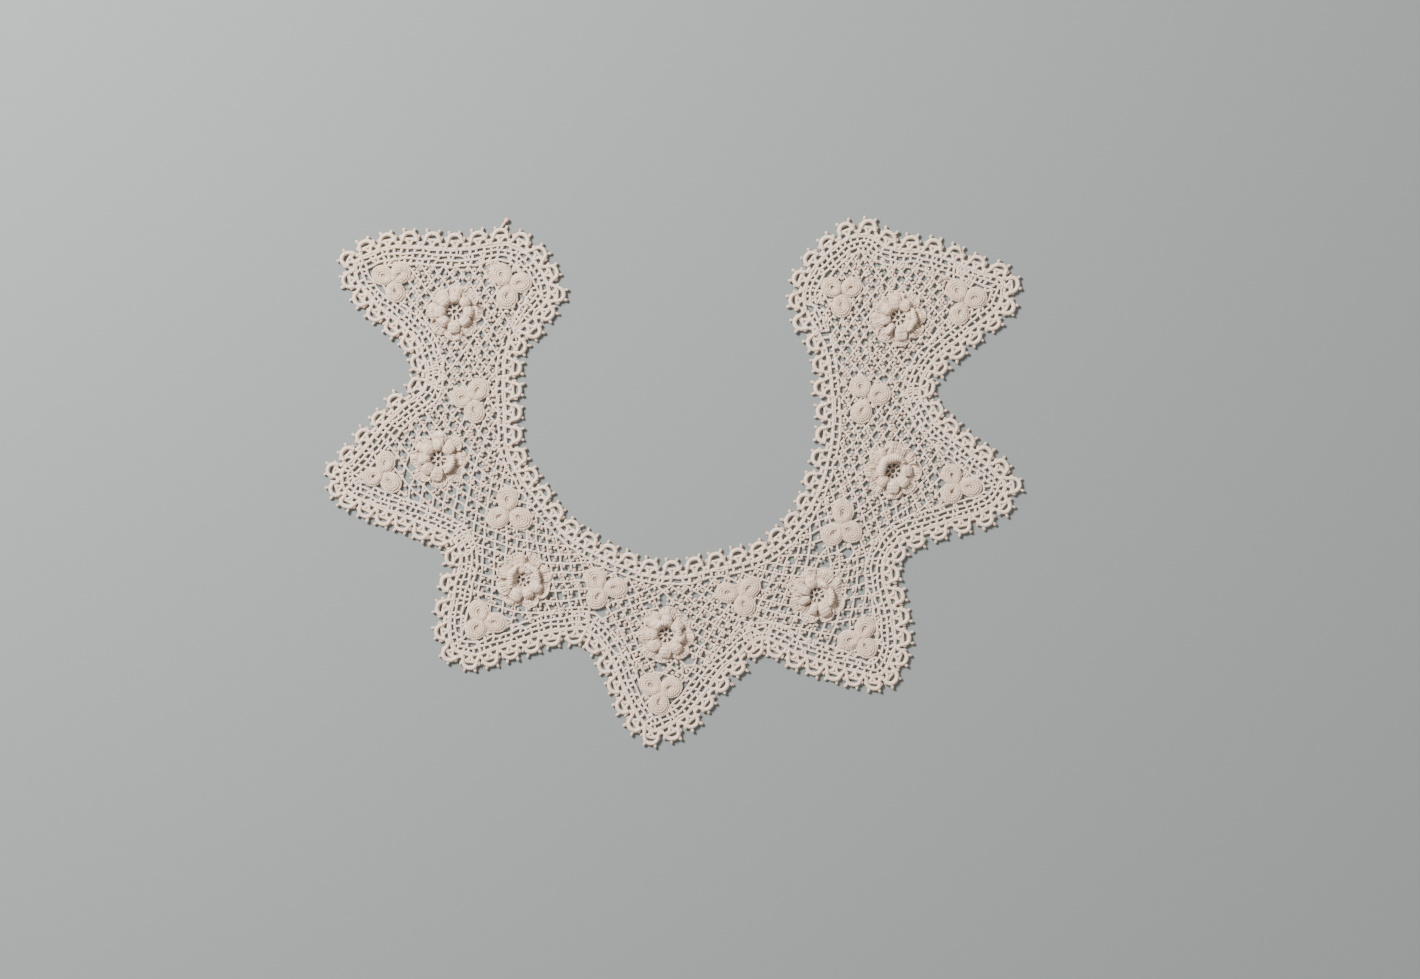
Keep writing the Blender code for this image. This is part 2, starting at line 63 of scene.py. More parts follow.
# The foundation line, clockwise seen from above, as the guide points (x, y) of each stretch of
# edging, in millimetres. A stretch starts its lead past its first guide and ends where the next
# one starts.
Stretch = namedtuple("Stretch", "name side scallops lead guides")
STRETCHES = (
    Stretch("neck_left", "neck", 6, 3.2, (
        (-61.6, 77.6), (-73.4, 65.5), (-76.5, 30.8))),
    Stretch("neck_front", "neck", 17, 1.3, (
        (-76.0, 17.3), (-62.6, -7.4), (-48.6, -23.6), (-30.6, -34.4), (-13.1, -41.2),
        (-2.2, -42.5), (18.4, -38.9), (38.7, -33.5), (54.5, -20.9))),
    Stretch("neck_right", "neck", 8, -4.2, (
        (65.7, -1.1), (71.1, 20.9), (70.7, 44.3), (66.6, 65.0))),
    Stretch("end_right", "outer", 13, 2.0, (
        (59.9, 76.7), (58.1, 83.9), (59.9, 91.1), (71.1, 105.5), (78.8, 110.5), (87.3, 111.4),
        (95.0, 106.4), (110.2, 104.2), (138.6, 94.3))),
    Stretch("point_7_low", "outer", 6, 9.0, (
        (147.6, 90.7), (146.7, 82.6), (131.0, 67.7), (113.9, 52.0))),
    Stretch("point_6_up", "outer", 5, 3.9, (
        (109.8, 41.6), (113.9, 31.3), (128.7, 16.9), (144.0, 4.7))),
    Stretch("point_6_low", "outer", 6, -5.6, (
        (148.5, -1.1), (145.8, -6.5), (117.5, -18.7))),
    Stretch("point_5_side", "outer", 7, -1.2, (
        (99.9, -25.9), (94.5, -33.5), (98.1, -62.3), (98.5, -74.0), (95.9, -81.2))),
    Stretch("point_5_low", "outer", 6, -0.2, (
        (91.8, -86.2), (82.4, -84.4), (55.4, -76.3))),
    Stretch("point_4_right", "outer", 7, -1.4, (
        (39.1, -69.5), (25.7, -79.4), (-2.2, -108.2))),
    Stretch("point_4_left", "outer", 5, 4.5, (
        (-10.8, -110.9), (-15.8, -105.1), (-34.2, -70.4))),
    Stretch("point_3_low", "outer", 6, -0.4, (
        (-39.1, -65.9), (-51.8, -65.9), (-79.2, -73.6), (-92.2, -76.7))),
    Stretch("point_3_side", "outer", 5, -5.7, (
        (-99.0, -74.5), (-101.2, -67.3), (-98.1, -44.3), (-96.3, -30.8))),
    Stretch("point_2_low", "outer", 8, 0.0, (
        (-99.0, -25.4), (-111.6, -18.7), (-139.1, -7.9), (-148.1, -2.9))),
    Stretch("point_2_up", "outer", 5, 3.7, (
        (-149.4, 5.6), (-144.5, 10.6), (-124.2, 33.1), (-112.0, 43.9))),
    Stretch("point_1_low", "outer", 5, -0.2, (
        (-111.2, 48.8), (-114.3, 61.0), (-137.7, 84.8))),
    Stretch("end_left", "outer", 14, -4.7, (
        (-142.7, 92.0), (-143.6, 98.8), (-135.5, 103.7), (-96.8, 105.1), (-71.1, 106.4),
        (-59.4, 93.8), (-56.7, 84.4))),
)
NECK_STRETCHES = sum(stretch.side == "neck" for stretch in STRETCHES)
FIRST_LEFT = [stretch.name for stretch in STRETCHES].index("point_4_left")

# Roses: place, turn of the first petal, radius of the open middle, how each of the eight inner
# petals is worked, from that petal on (r round and puffed, n narrow, l low, f folded out and
# large), and the rolled edges that lie on them
Rose = namedtuple("Rose", "name x y turn opening inner rolls")
# A rolled edge: its first and last direction in degrees, its radius at each end and its width
Roll = namedtuple("Roll", "first last inner outer width")
ROSES = (
    Rose("rose_1", -99.0, 77.2, 42.0, 3.9, "rrrrrfrr", ()),
    Rose("rose_2", -106.2, 11.0, 0.0, 3.6, "lrrrrrfl", (
        Roll(16.0, -66.0, 6.3, 6.8, 2.9),)),
    Rose("rose_3", -68.0, -43.4, 17.0, 3.1, "lllllfrr", (
        Roll(110.0, 206.0, 6.5, 5.2, 3.1), Roll(86.0, -16.0, 6.4, 6.8, 2.9))),
    Rose("rose_4", -4.0, -68.2, 40.0, 3.5, "rrrrfffr", (
        Roll(158.0, 66.0, 5.7, 5.7, 2.8), Roll(60.0, -12.0, 5.8, 6.2, 2.8))),
    Rose("rose_5", 63.9, -50.2, 25.0, 3.4, "llrnnnfl", (
        Roll(76.0, 34.0, 5.8, 5.5, 2.7), Roll(32.0, -38.0, 5.8, 7.4, 3.0))),
    Rose("rose_6", 98.1, 5.6, 43.0, 3.5, "llllrfrr", (
        Roll(40.0, 220.0, 5.9, 5.2, 4.1),)),
    Rose("rose_7", 100.4, 74.5, 8.0, 3.5, "lrfrnnfl", (
        Roll(36.0, -56.0, 6.9, 7.1, 3.0),)),
)

Shamrock = namedtuple("Shamrock", "name coils radius")
SHAMROCKS = (
    Shamrock("shamrock_a", ((-131.6, 93.6), (-123.3, 94.3), (-125.6, 85.7)), 4.5),
    Shamrock("shamrock_b", ((-78.3, 94.3), (-68.9, 90.2), (-75.4, 83.3)), 4.7),
    Shamrock("shamrock_c", ((-96.3, 38.7), (-88.2, 42.5), (-90.0, 32.0)), 4.7),
    Shamrock("shamrock_d", ((-130.0, 10.1), (-136.1, 2.9), (-127.4, 0.2)), 4.5),
    Shamrock("shamrock_e", ((-75.2, -6.5), (-79.7, -15.5), (-68.9, -16.0)), 4.9),
    Shamrock("shamrock_f", ((-88.2, -56.9), (-89.6, -65.5), (-80.1, -62.6)), 4.7),
    Shamrock("shamrock_g", ((-36.0, -42.5), (-26.1, -47.0), (-35.1, -51.5)), 4.8),
    Shamrock("shamrock_h", ((-11.3, -90.2), (-1.4, -91.6), (-7.2, -99.2)), 4.8),
    Shamrock("shamrock_i", ((23.0, -49.0), (33.8, -46.6), (31.5, -55.1)), 4.8),
    Shamrock("shamrock_j", ((85.5, -64.6), (77.9, -70.4), (86.2, -74.0)), 4.7),
    Shamrock("shamrock_k", ((75.6, -12.4), (70.7, -23.0), (79.2, -21.8)), 5.0),
    Shamrock("shamrock_l", ((124.2, 4.3), (124.2, -4.3), (133.2, -1.6)), 4.6),
    Shamrock("shamrock_m", ((83.3, 43.9), (92.3, 40.3), (83.7, 31.7)), 4.8),
    Shamrock("shamrock_n", ((70.2, 88.4), (79.7, 88.4), (74.7, 79.2)), 4.5),
    Shamrock("shamrock_o", ((126.5, 87.1), (135.5, 83.5), (127.8, 75.8)), 4.7),
)

# The foundation line and its bands, as the construction solids have them
SEAM_GAP = 0.3 * MM
CURVE_STEP = 1.0 * MM
NORMAL_SPREAD = 7.0 * MM
SCALLOP_PITCH = 9.2 * MM
SCALLOP_MIDDLE = 4.6 * MM
NECK_BAND_WIDTH = 4.6 * MM
OUTER_ROUNDS = 7.4 * MM
NECK_ROUNDS = 2.9 * MM
BAND_BLEND = 18.0 * MM
# A point moved in by less than this share of its inset lies in a fold of the line
UNFOLDED = 0.985
ROSE_RADIUS = 12.5 * MM
ROSE_VALLEY = 10.4 * MM
PETALS = 8

# The net: rows of arches from the neck outwards, each arch made fast on the row before
FIRST_ROW, LAST_ROW = -10, 36
# The guide for the rows follows the neck as high as its top, runs on straight past it, and is
# smoothed over so many of its steps
GUIDE_TOP, GUIDE_REACH, GUIDE_SPREAD = 50.0 * MM, 190.0 * MM, 9.0
# The width of an arch and the height of a row, up the arms and across the front, and how much
# more each next row has
ARM_ARCH, FRONT_ARCH = 7.1 * MM, 6.1 * MM
ARM_ROW, FRONT_ROW = 2.6 * MM, 2.75 * MM
ROW_GROWTH = 0.003
# Where the arches of one row stand on an arch of the row before: one, or two at an increase
ONE_ARCH, TWO_ARCHES = (0.5,), (0.28, 0.72)
# How often, and by what share each time, knots are drawn towards the middle of their neighbours:
# along their row first, and then across all the rows
ROW_EVENINGS, ROW_PULL = 14, 0.5
NET_EVENINGS, NET_PULL, KNOT_TIES = 24, 0.6, 4
KNOT_DRIFT = 0.2 * MM
# The share of the band that the net's own loop is moved in by, and how far the net's knots stay
# clear of the petals and, in millimetres, of the coils
NET_INSET = 0.97
PETAL_CLEAR, COIL_CLEAR = 0.5 * MM, 0.2
# A thread between its knots: points for each span, how far they stray, the thread's height and the
# spreads of its height, in millimetres, and its width, and how much wider a knot is
SPAN_POINTS, THREAD_DRIFT = 4, 0.06 * MM
NET_HEIGHT, HEIGHT_SPREAD = 0.6 * MM, 0.08
WIDTH_SPREAD, KNOT_WIDTH = (0.92, 1.06), 1.3
# How far a thread runs into what it is made fast on, and how often its end is halved in on
MADE_FAST, FASTENING_STEPS = 1.0 * MM, 8
# Picots: chances on upright chains and on others, how often one points the other way, the
# shortest chain that has one and the chain that has two
UPRIGHT_ANGLE = math.radians(17.0)
UPRIGHT_CHANCE, PICOT_CHANCE, TURNED_CHANCE = 0.5, 0.94, 0.22
SHORT_CHAIN, LONG_CHAIN = 2.4 * MM, 3.9 * MM
ONE_PICOT, TWO_PICOTS = (0.5,), (0.33, 0.67)
# A picot of the net: how far along its chain and round it may shift, how far outwards and above
# the chain it stands, how it tilts, and its length and width in millimetres, each as the least and
# what is added at most
PICOT_SHIFT, PICOT_SWING = 0.16, 0.5
PICOT_OUT, PICOT_ABOVE = 0.1, 0.05 * MM
PICOT_TILT, LEVEL_TILT = 0.5, 0.2
PICOT_SIZES = ((2.15, 0.35), (1.3, 0.3))
PICOT_FLATNESS = 0.85
# The lowest that any stitch lies
LOWEST = 0.02 * MM

# The rounds of the borders: the step and the smoothing of their cords, their height, how much
# lower the posts between them are, how far a round runs in under a coil, in millimetres, and the
# fewest points that it has
ROUND_STEP, ROUND_SMOOTHING = 0.4 * MM, 1.2
ROUND_HEIGHT, POST_DROP = 0.7 * MM, 0.04 * MM
UNDER_COIL, LEAST_POINTS = 0.5, 3
# Where each round lies across the band, how far apart the posts are, and how far along the neck
# the outer rounds run on
OUTER_SHARES, OUTER_PITCH = (0.05, 0.36, 0.68, 1.0), 3.0 * MM
NECK_SHARES, NECK_PITCH = (0.08, 1.0), 3.5 * MM
NARROWING = 13.0 * MM / CURVE_STEP
# A round's cord: how far it strays and how much its width changes, each with its smoothing and
# how much larger it is drawn, because the smoothing takes most of it away
RAIL_DRIFT, RAIL_SMOOTHING, RAIL_DRAWN = 0.3 * MM, 3.0, 2.6
RAIL_SWELL, SWELL_SMOOTHING, SWELL_DRAWN = 0.12, 2.0, 2.0
# A post between two rounds: how far its end slants in the first row of cells and how much more in
# each next one, how far its middle strays, its widths and their spread, and the spread of the
# distance to the next post and the share of it where the rounds are worked closer
SLANT, SLANT_GROWTH = 0.4, 0.45
POST_DRIFT = 0.14 * MM
POST_WIDTHS, POST_SPREAD = np.array((0.85, 0.9, 1.1, 0.9, 0.85)), (0.85, 1.2)
PITCH_SPREAD = (0.8, 1.2)
CLOSER = 0.45

# Places where the rounds are worked closer, in millimetres
Clump = namedtuple("Clump", "x y radius")
CLUMPS = (
    Clump(127.9, 92.6, 7.0), Clump(38.8, -64.5, 8.0), Clump(-38.5, -61.0, 7.0),
    Clump(-107.0, 46.5, 6.0), Clump(105.5, 41.0, 7.0), Clump(-94.5, -27.5, 6.0),
)

# Stains: place in millimetres, radius, colour and strength
Stain = namedtuple("Stain", "name x y radius colour strength")
STAINS = (
    Stain("pink_tip", -75.4, 118.6, 2.6, (0.60, 0.32, 0.24), 0.75),
    Stain("tan_arch", -75.5, 16.1, 3.0, (0.62, 0.40, 0.22), 0.6),
    Stain("rust_picot", 134.2, -17.2, 1.8, (0.42, 0.14, 0.09), 0.8),
    Stain("rust_arch", 118.0, -8.2, 1.8, (0.45, 0.19, 0.12), 0.6),
    Stain("yellow_end", -130.0, 107.0, 13.0, (0.72, 0.55, 0.33), 0.45),
    Stain("brown_loop", 121.4, 92.0, 2.2, (0.42, 0.27, 0.18), 0.5),
)

# Loops of thread that have come loose, as points (x, y) in millimetres
STRAYS = (
    ((119.3, 90.6), (119.9, 92.1), (121.3, 92.9), (122.8, 92.4), (123.6, 91.0)),
    ((126.2, 106.4), (127.2, 107.3), (128.2, 105.0), (129.2, 102.0)),
)
# The height of their ends and how much higher their middles are, in millimetres, and their width
STRAY_HEIGHT, STRAY_RISE, STRAY_WIDTH = 1.1, 1.2, 0.36

# One cord of the lace: its points, and its width as a share of the thread's
Cord = namedtuple("Cord", "points width")
# One picot: where it stands, which way it points, its length and width
Picot = namedtuple("Picot", "point turn tilt length width")
# One row of the net: its number from the neck, its knots' places along the guide, the arch of the
# row before that each knot stands on, and the knots' points
Row = namedtuple("Row", "number places hosts points")


# ---------------------------------------------------------------- the foundation line

class Foundation:
    """The closed line that the net and the bands lie inside and the edging is worked from."""

    def __init__(self):
        guides = [guide for stretch in STRETCHES for guide in stretch.guides]
        self.points, guide_index = smooth_loop(np.array(guides) * MM)
        tangent = np.roll(self.points, -1, axis=0) - np.roll(self.points, 1, axis=0)
        tangent /= np.linalg.norm(tangent, axis=1, keepdims=True)
        self.normals = np.column_stack((-tangent[:, 1], tangent[:, 0]))
        self.fan = spread_normals(self.normals)
        middle = self.points + self.fan * SCALLOP_MIDDLE
        lengths = np.linalg.norm(np.roll(middle, -1, axis=0) - middle, axis=1)
        self.middle_length = np.concatenate(([0.0], np.cumsum(np.tile(lengths, 2))))
        first_guides = np.cumsum([0] + [len(stretch.guides) for stretch in STRETCHES])
        self.starts = [guide_index[i] for i in first_guides[:-1]] + [len(self.points)]
        self.points = self.points + TABLE_ORIGIN
        self.widths = self.band_widths()

    def at(self, place, offset):
        """The point at a fractional index, moved outwards by offset."""
        count = len(self.points)
        low = int(math.floor(place))
        share = place - low
        point = self.points[low % count] * (1 - share) + self.points[(low + 1) % count] * share
        normal = self.fan[low % count] * (1 - share) + self.fan[(low + 1) % count] * share
        return point + normal / np.linalg.norm(normal) * offset

    def scallop_places(self, number):
        """Fractional indices of the scallop boundaries of one stretch, even at mid height."""
        following = STRETCHES[(number + 1) % len(STRETCHES)]
        start = self.middle_length[self.starts[number]] + STRETCHES[number].lead * MM
        end = self.middle_length[self.starts[number + 1]] + following.lead * MM
        targets = np.linspace(start, end, STRETCHES[number].scallops + 1)
        return np.interp(targets, self.middle_length, np.arange(len(self.middle_length)))

    def band_widths(self):
        """The width of the plain rounds at each sample: one row of cells at the neck, three on
        the outer side."""
        neck_end = self.starts[NECK_STRETCHES]
        widths = np.full(len(self.points), OUTER_ROUNDS)
        for i in range(neck_end + 1):
            blend = min(1.0, min(i, neck_end - i) * CURVE_STEP / BAND_BLEND)
            widths[i] += (NECK_ROUNDS - OUTER_ROUNDS) * blend ** 2 * (3 - 2 * blend)
        return widths

    def inset(self, share):
        """Places and points of the line moved in by a share of the band, without its folds."""
        moved = self.points - self.normals * (self.widths * share)[:, None]
        kept = [i for i, point in enumerate(moved)
                if distance_to_loop(point, self.points) > UNFOLDED * self.widths[i] * share]
        return np.array(kept), moved[kept]


def smooth_loop(guides):
    """Sample a smooth closed curve through the guides; also gives each guide's sample index."""
    following = np.roll(guides, -1, axis=0)
    chords = np.linalg.norm(following - guides, axis=1)
    slopes = (following - guides) / chords[:, None]
    before = np.roll(chords, 1)
    slopes_before = np.roll(slopes, 1, axis=0)
    tangents = slopes_before * chords[:, None] + slopes * before[:, None]
    tangents /= (chords + before)[:, None]
    samples, index = [], []
    for i, chord in enumerate(chords):
        index.append(len(samples))
        steps = max(2, round(chord / CURVE_STEP))
        start, end = guides[i], following[i]
        leave, arrive = tangents[i] * chord, tangents[(i + 1) % len(guides)] * chord
        for t in np.arange(steps) / steps:
            samples.append((2 * t**3 - 3 * t**2 + 1) * start + (t**3 - 2 * t**2 + t) * leave
                           + (3 * t**2 - 2 * t**3) * end + (t**3 - t**2) * arrive)
    return np.array(samples), index


def spread_normals(normals):
    """Normals averaged along the line, so that scallops in a sharp bend do not cross."""
    reach = int(2 * NORMAL_SPREAD / CURVE_STEP)
    total = np.zeros_like(normals)
    for shift in range(-reach, reach + 1):
        weight = math.exp(-0.5 * (shift * CURVE_STEP / NORMAL_SPREAD) ** 2)
        total += weight * np.roll(normals, shift, axis=0)
    return total / np.linalg.norm(total, axis=1, keepdims=True)


def distance_to_loop(point, loop):
    """The distance from a point to the nearest side of a closed loop."""
    following = np.roll(loop, -1, axis=0)
    side = following - loop
    share = np.einsum("ij,ij->i", point - loop, side) / np.einsum("ij,ij->i", side, side)
    nearest = loop + np.clip(share, 0.0, 1.0)[:, None] * side
    return np.linalg.norm(nearest - point, axis=1).min()


# ---------------------------------------------------------------- paths

def smooth_path(points, steps=4):
    """More points on a smooth open line through the given ones."""
    points = np.asarray(points, float)
    padded = np.vstack((2 * points[0] - points[1], points, 2 * points[-1] - points[-2]))
    t = (np.arange(steps) / steps)[:, None]
    spans = []
    for a, b, c, d in zip(padded, padded[1:], padded[2:], padded[3:]):
        spans.append(0.5 * (2 * b + (c - a) * t + (2 * a - 5 * b + 4 * c - d) * t**2
                            + (3 * b - a - 3 * c + d) * t**3))
    return np.vstack(spans + [points[-1:]])


def even_path(points, step):
    """The same line with points an even step apart."""
    lengths = np.concatenate(([0.0], np.cumsum(np.linalg.norm(np.diff(points, axis=0), axis=1))))
    count = max(1, round(lengths[-1] / step))
    targets = np.linspace(0.0, lengths[-1], count + 1)
    return np.column_stack([np.interp(targets, lengths, column) for column in points.T])


def soften(points, spread):
    """Average each point of an even line with its neighbours; the line runs on straight at both
    ends."""
    reach = int(3 * spread)
    weights = np.exp(-0.5 * (np.arange(-reach, reach + 1) / spread) ** 2)
    weights /= weights.sum()
    ahead = points[0] + (points[0] - points[1]) * np.arange(reach, 0, -1)[:, None]
    beyond = points[-1] + (points[-1] - points[-2]) * np.arange(1, reach + 1)[:, None]
    padded = np.vstack((ahead, points, beyond))
    return np.column_stack([np.convolve(column, weights, "valid") for column in padded.T])


def lift(points, height):
    """Points (x, y) at a height, as (x, y, z)."""
    points = np.asarray(points)
    return np.column_stack((points, np.full(len(points), height)))


def circle_path(centre, radius, height, count=24):
    """A closed circle of points at a height."""
    angles = 2 * math.pi * np.arange(count + 1) / count
    return np.column_stack((centre[0] + radius * np.cos(angles),
                            centre[1] + radius * np.sin(angles), np.full(count + 1, height)))


def inside_loop(points, loop):
    """Which points lie inside a closed loop."""
    x, y = points[:, :1], points[:, 1:]
    (x1, y1), (x2, y2) = loop.T, np.roll(loop, -1, axis=0).T
    crosses = (y < y1) != (y < y2)
    slope = (x2 - x1) / np.where(y1 == y2, 1.0, y2 - y1)
    return (crosses & (x < x1 + (y - y1) * slope)).sum(axis=1) % 2 == 1


def coil_centres(shamrock):
    """The middles of a shamrock's three coils."""
    return [np.array(place) * MM + TABLE_ORIGIN for place in shamrock.coils]


def rose_centre(rose):
    """The middle of a rose."""
    return np.array((rose.x, rose.y)) * MM + TABLE_ORIGIN


def outside_rose(rose, points):
    """How far the points lie outside the rose's lobed outline."""
    away = np.atleast_2d(points) - rose_centre(rose)
    angles = np.arctan2(away[:, 1], away[:, 0]) - math.radians(rose.turn)
    lobe = np.abs(np.cos(PETALS * angles / 2))
    outline = ROSE_VALLEY + (ROSE_RADIUS - ROSE_VALLEY) * (1 - (1 - lobe) ** 2)
    return np.hypot(*away.T) - outline


# ---------------------------------------------------------------- node graphs

class Socket:
    """A node's socket, which takes part in sums; each sum adds its Math node."""

    def __init__(self, graph, socket):
        self.graph, self.socket = graph, socket

    def math(self, operation, *values):
        """The result of a Math node on some values."""
        return self.graph.add("ShaderNodeMath", {"operation": operation}, *values)

    def __add__(self, other):
        return self.math("ADD", self, other)

    def __sub__(self, other):
        return self.math("SUBTRACT", self, other)

    def __rsub__(self, other):
        return self.math("SUBTRACT", other, self)

    def __mul__(self, other):
        return self.math("MULTIPLY", self, other)

    def __truediv__(self, other):
        return self.math("DIVIDE", self, other)

    def sine(self):
        return self.math("SINE", self)

    def absolute(self):
        return self.math("ABSOLUTE", self)

    def fraction(self):
        return self.math("FRACT", self)

    def maximum(self, other):
        return self.math("MAXIMUM", self, other)

    __radd__ = __add__
    __rmul__ = __mul__


class Graph:
    """Adds nodes to a tree: type, settings, then the values or links of its sockets."""

    def __init__(self, tree):
        self.tree = tree
        tree.nodes.clear()

    def add(self, kind, settings=None, *values, output=0, **named):
        node = self.tree.nodes.new(kind)
        for key, value in (settings or {}).items():
            setattr(node, key, value)
        given = [(node.inputs[i], value) for i, value in enumerate(values) if value is not None]
        given += [(self.find(node, key), value) for key, value in named.items()]
        for socket, value in given:
            if isinstance(value, Socket):
                self.tree.links.new(value.socket, socket)
            else:
                socket.default_value = value
        if not node.outputs:
            return None
        return Socket(self, node.outputs[output])

    @staticmethod
    def find(node, key):
        """The enabled input of that name, with _ for a space."""
        name = key.replace("_", " ")
        return next(socket for socket in node.inputs if socket.name == name and socket.enabled)


def new_node_group(name, inputs):
    """A Geometry Nodes tree with named inputs; gives the graph and its input sockets."""
    tree = bpy.data.node_groups.new(name, "GeometryNodeTree")
    tree.interface.new_socket("Geometry", in_out="INPUT", socket_type="NodeSocketGeometry")
    for label, (kind, value) in inputs.items():
        socket = tree.interface.new_socket(label, in_out="INPUT", socket_type=kind)
        if value is not None:
            socket.default_value = value
    tree.interface.new_socket("Geometry", in_out="OUTPUT", socket_type="NodeSocketGeometry")
    graph = Graph(tree)
    group = tree.nodes.new("NodeGroupInput")
    sockets = {socket.name: Socket(graph, socket) for socket in group.outputs if socket.name}
    return tree, graph, sockets


def finish_tree(graph, geometry, material):
    """Every tree ends in Realize Instances and Set Material."""
    geometry = graph.add("GeometryNodeRealizeInstances", None, geometry)
    geometry = graph.add("GeometryNodeSetMaterial", None, geometry, Material=material)
    graph.add("NodeGroupOutput", None, geometry)


def crochet_chain_tree():
    """Turns curves into crochet chains: a cord that swells at each stitch."""
    tree, graph, given = new_node_group("crochet_chain", {
        "Thread width": ("NodeSocketFloat", 0.9 * MM),
        "Stitch": ("NodeSocketFloat", 1.2 * MM),
        "Steps per stitch": ("NodeSocketInt", 2),
        "Swell": ("NodeSocketFloat", 0.1),
        "Sides": ("NodeSocketInt", 6),
        "Flatness": ("NodeSocketFloat", 0.9),
        "Material": ("NodeSocketMaterial", None),
    })
    step = given["Stitch"] / given["Steps per stitch"]
    curve = graph.add("GeometryNodeResampleCurve", {"mode": "LENGTH"}, given["Geometry"],
                      Length=step)
    curve = graph.add("GeometryNodeSetCurveNormal", {"mode": "Z_UP"}, curve)
    along = graph.add("GeometryNodeSplineParameter", output=1) / given["Stitch"]
    curve = graph.add("GeometryNodeStoreNamedAttribute",
                      {"data_type": "FLOAT", "domain": "POINT"}, curve, Name="along", Value=along)
    swell = (along * (2 * math.pi)).sine() * given["Swell"] + 1.0
    width = graph.add("GeometryNodeInputRadius") * swell
    ring = graph.add("GeometryNodeCurvePrimitiveCircle", {"mode": "RADIUS"},
                     Resolution=given["Sides"], Radius=given["Thread width"] * 0.5)
    flat = graph.add("ShaderNodeCombineXYZ", None, 1.0, given["Flatness"], 1.0)
    ring = graph.add("GeometryNodeTransform", None, ring, Scale=flat)
    around = graph.add("GeometryNodeSplineParameter", output=0)
    ring = graph.add("GeometryNodeStoreNamedAttribute",
                     {"data_type": "FLOAT", "domain": "POINT"}, ring, Name="around", Value=around)
    mesh = graph.add("GeometryNodeCurveToMesh", None, curve, ring, Scale=width, Fill_Caps=True)
    mesh = graph.add("GeometryNodeSetShadeSmooth", None, mesh)
    finish_tree(graph, mesh, given["Material"])
    return tree


# A picot is a knob of length 1 that starts behind its point and widens outwards: how far its
# middle lies ahead, and its width and height at its middle and what each gains over its length
KNOB_AHEAD = 0.34
KNOB_WIDTH, KNOB_WIDENING = 0.72, 0.8
KNOB_HEIGHT, KNOB_RISE = 0.85, 0.4


def picot_tree():
    """Puts a picot, a small loop of thread drawn tight, on each point."""
    tree, graph, given = new_node_group("picots", {
        "Segments": ("NodeSocketInt", 6),
        "Rings": ("NodeSocketInt", 5),
        "Material": ("NodeSocketMaterial", None),
    })
    knob = graph.add("GeometryNodeMeshUVSphere", None, Segments=given["Segments"],
                     Rings=given["Rings"], Radius=0.5)
    lying = graph.add("GeometryNodeTransform", None, knob, Rotation=(0.0, math.pi / 2, 0.0),
                      Translation=(KNOB_AHEAD, 0.0, 0.0))
    place = graph.add("GeometryNodeInputPosition")
    x = graph.add("ShaderNodeSeparateXYZ", None, place)
    neck = graph.add("ShaderNodeCombineXYZ", None, 1.0, x * KNOB_WIDENING + KNOB_WIDTH,
                     x * KNOB_RISE + KNOB_HEIGHT)
    shaped = graph.add("ShaderNodeVectorMath", {"operation": "MULTIPLY"}, place, neck)
    lying = graph.add("GeometryNodeSetPosition", None, lying, Position=shaped)
    turn = graph.add("GeometryNodeInputNamedAttribute", {"data_type": "FLOAT_VECTOR"},
                     Name="turn")
    size = graph.add("GeometryNodeInputNamedAttribute", {"data_type": "FLOAT_VECTOR"},
                     Name="size")
    turned = graph.add("FunctionNodeEulerToRotation", None, turn)
    copies = graph.add("GeometryNodeInstanceOnPoints", None, given["Geometry"], Instance=lying,
                       Rotation=turned, Scale=size)
    copies = graph.add("GeometryNodeRealizeInstances", None, copies)
    copies = graph.add("GeometryNodeSetShadeSmooth", None, copies)
    finish_tree(graph, copies, given["Material"])
    return tree


def apply_tree(name, data, tree, values):
    """The plain mesh that a Geometry Nodes tree makes of some data."""
    source = bpy.data.objects.new(name + "_source", data)
    bpy.context.scene.collection.objects.link(source)
    modifier = source.modifiers.new(tree.name, "NODES")
    modifier.node_group = tree
    identifiers = {item.name: item.identifier for item in tree.interface.items_tree
                   if item.in_out == "INPUT"}
    for label, value in values.items():
        modifier[identifiers[label]] = value
    bpy.context.view_layer.update()
    graph = bpy.context.evaluated_depsgraph_get()
    mesh = bpy.data.meshes.new_from_object(source.evaluated_get(graph))
    bpy.data.objects.remove(source, do_unlink=True)
    mesh.name = name
    return mesh


def cords_mesh(name, cords, tree, values):
    """Lay crochet chains along the cords."""
    curve = bpy.data.curves.new(name + "_paths", "CURVE")
    curve.dimensions = "3D"
    for cord in cords:
        spline = curve.splines.new("POLY")
        spline.points.add(len(cord.points) - 1)
        flat = np.column_stack((cord.points, np.ones(len(cord.points)))).ravel()
        spline.points.foreach_set("co", flat)
        widths = np.broadcast_to(cord.width, len(cord.points)).astype(float)
        spline.points.foreach_set("radius", widths)
    return apply_tree(name, curve, tree, values)


def picots_mesh(name, picots, tree, values):
    """Set picots on their points."""
    points = bpy.data.meshes.new(name + "_points")
    points.from_pydata([tuple(picot.point) for picot in picots], [], [])
    turns = points.attributes.new("turn", "FLOAT_VECTOR", "POINT")
    turns.data.foreach_set("vector", np.ravel([(0.0, -picot.tilt, picot.turn)
                                               for picot in picots]))
    sizes = points.attributes.new("size", "FLOAT_VECTOR", "POINT")
    sizes.data.foreach_set("vector", np.ravel([
        (picot.length, picot.width, PICOT_FLATNESS * picot.width) for picot in picots]))
    return apply_tree(name, points, tree, values)


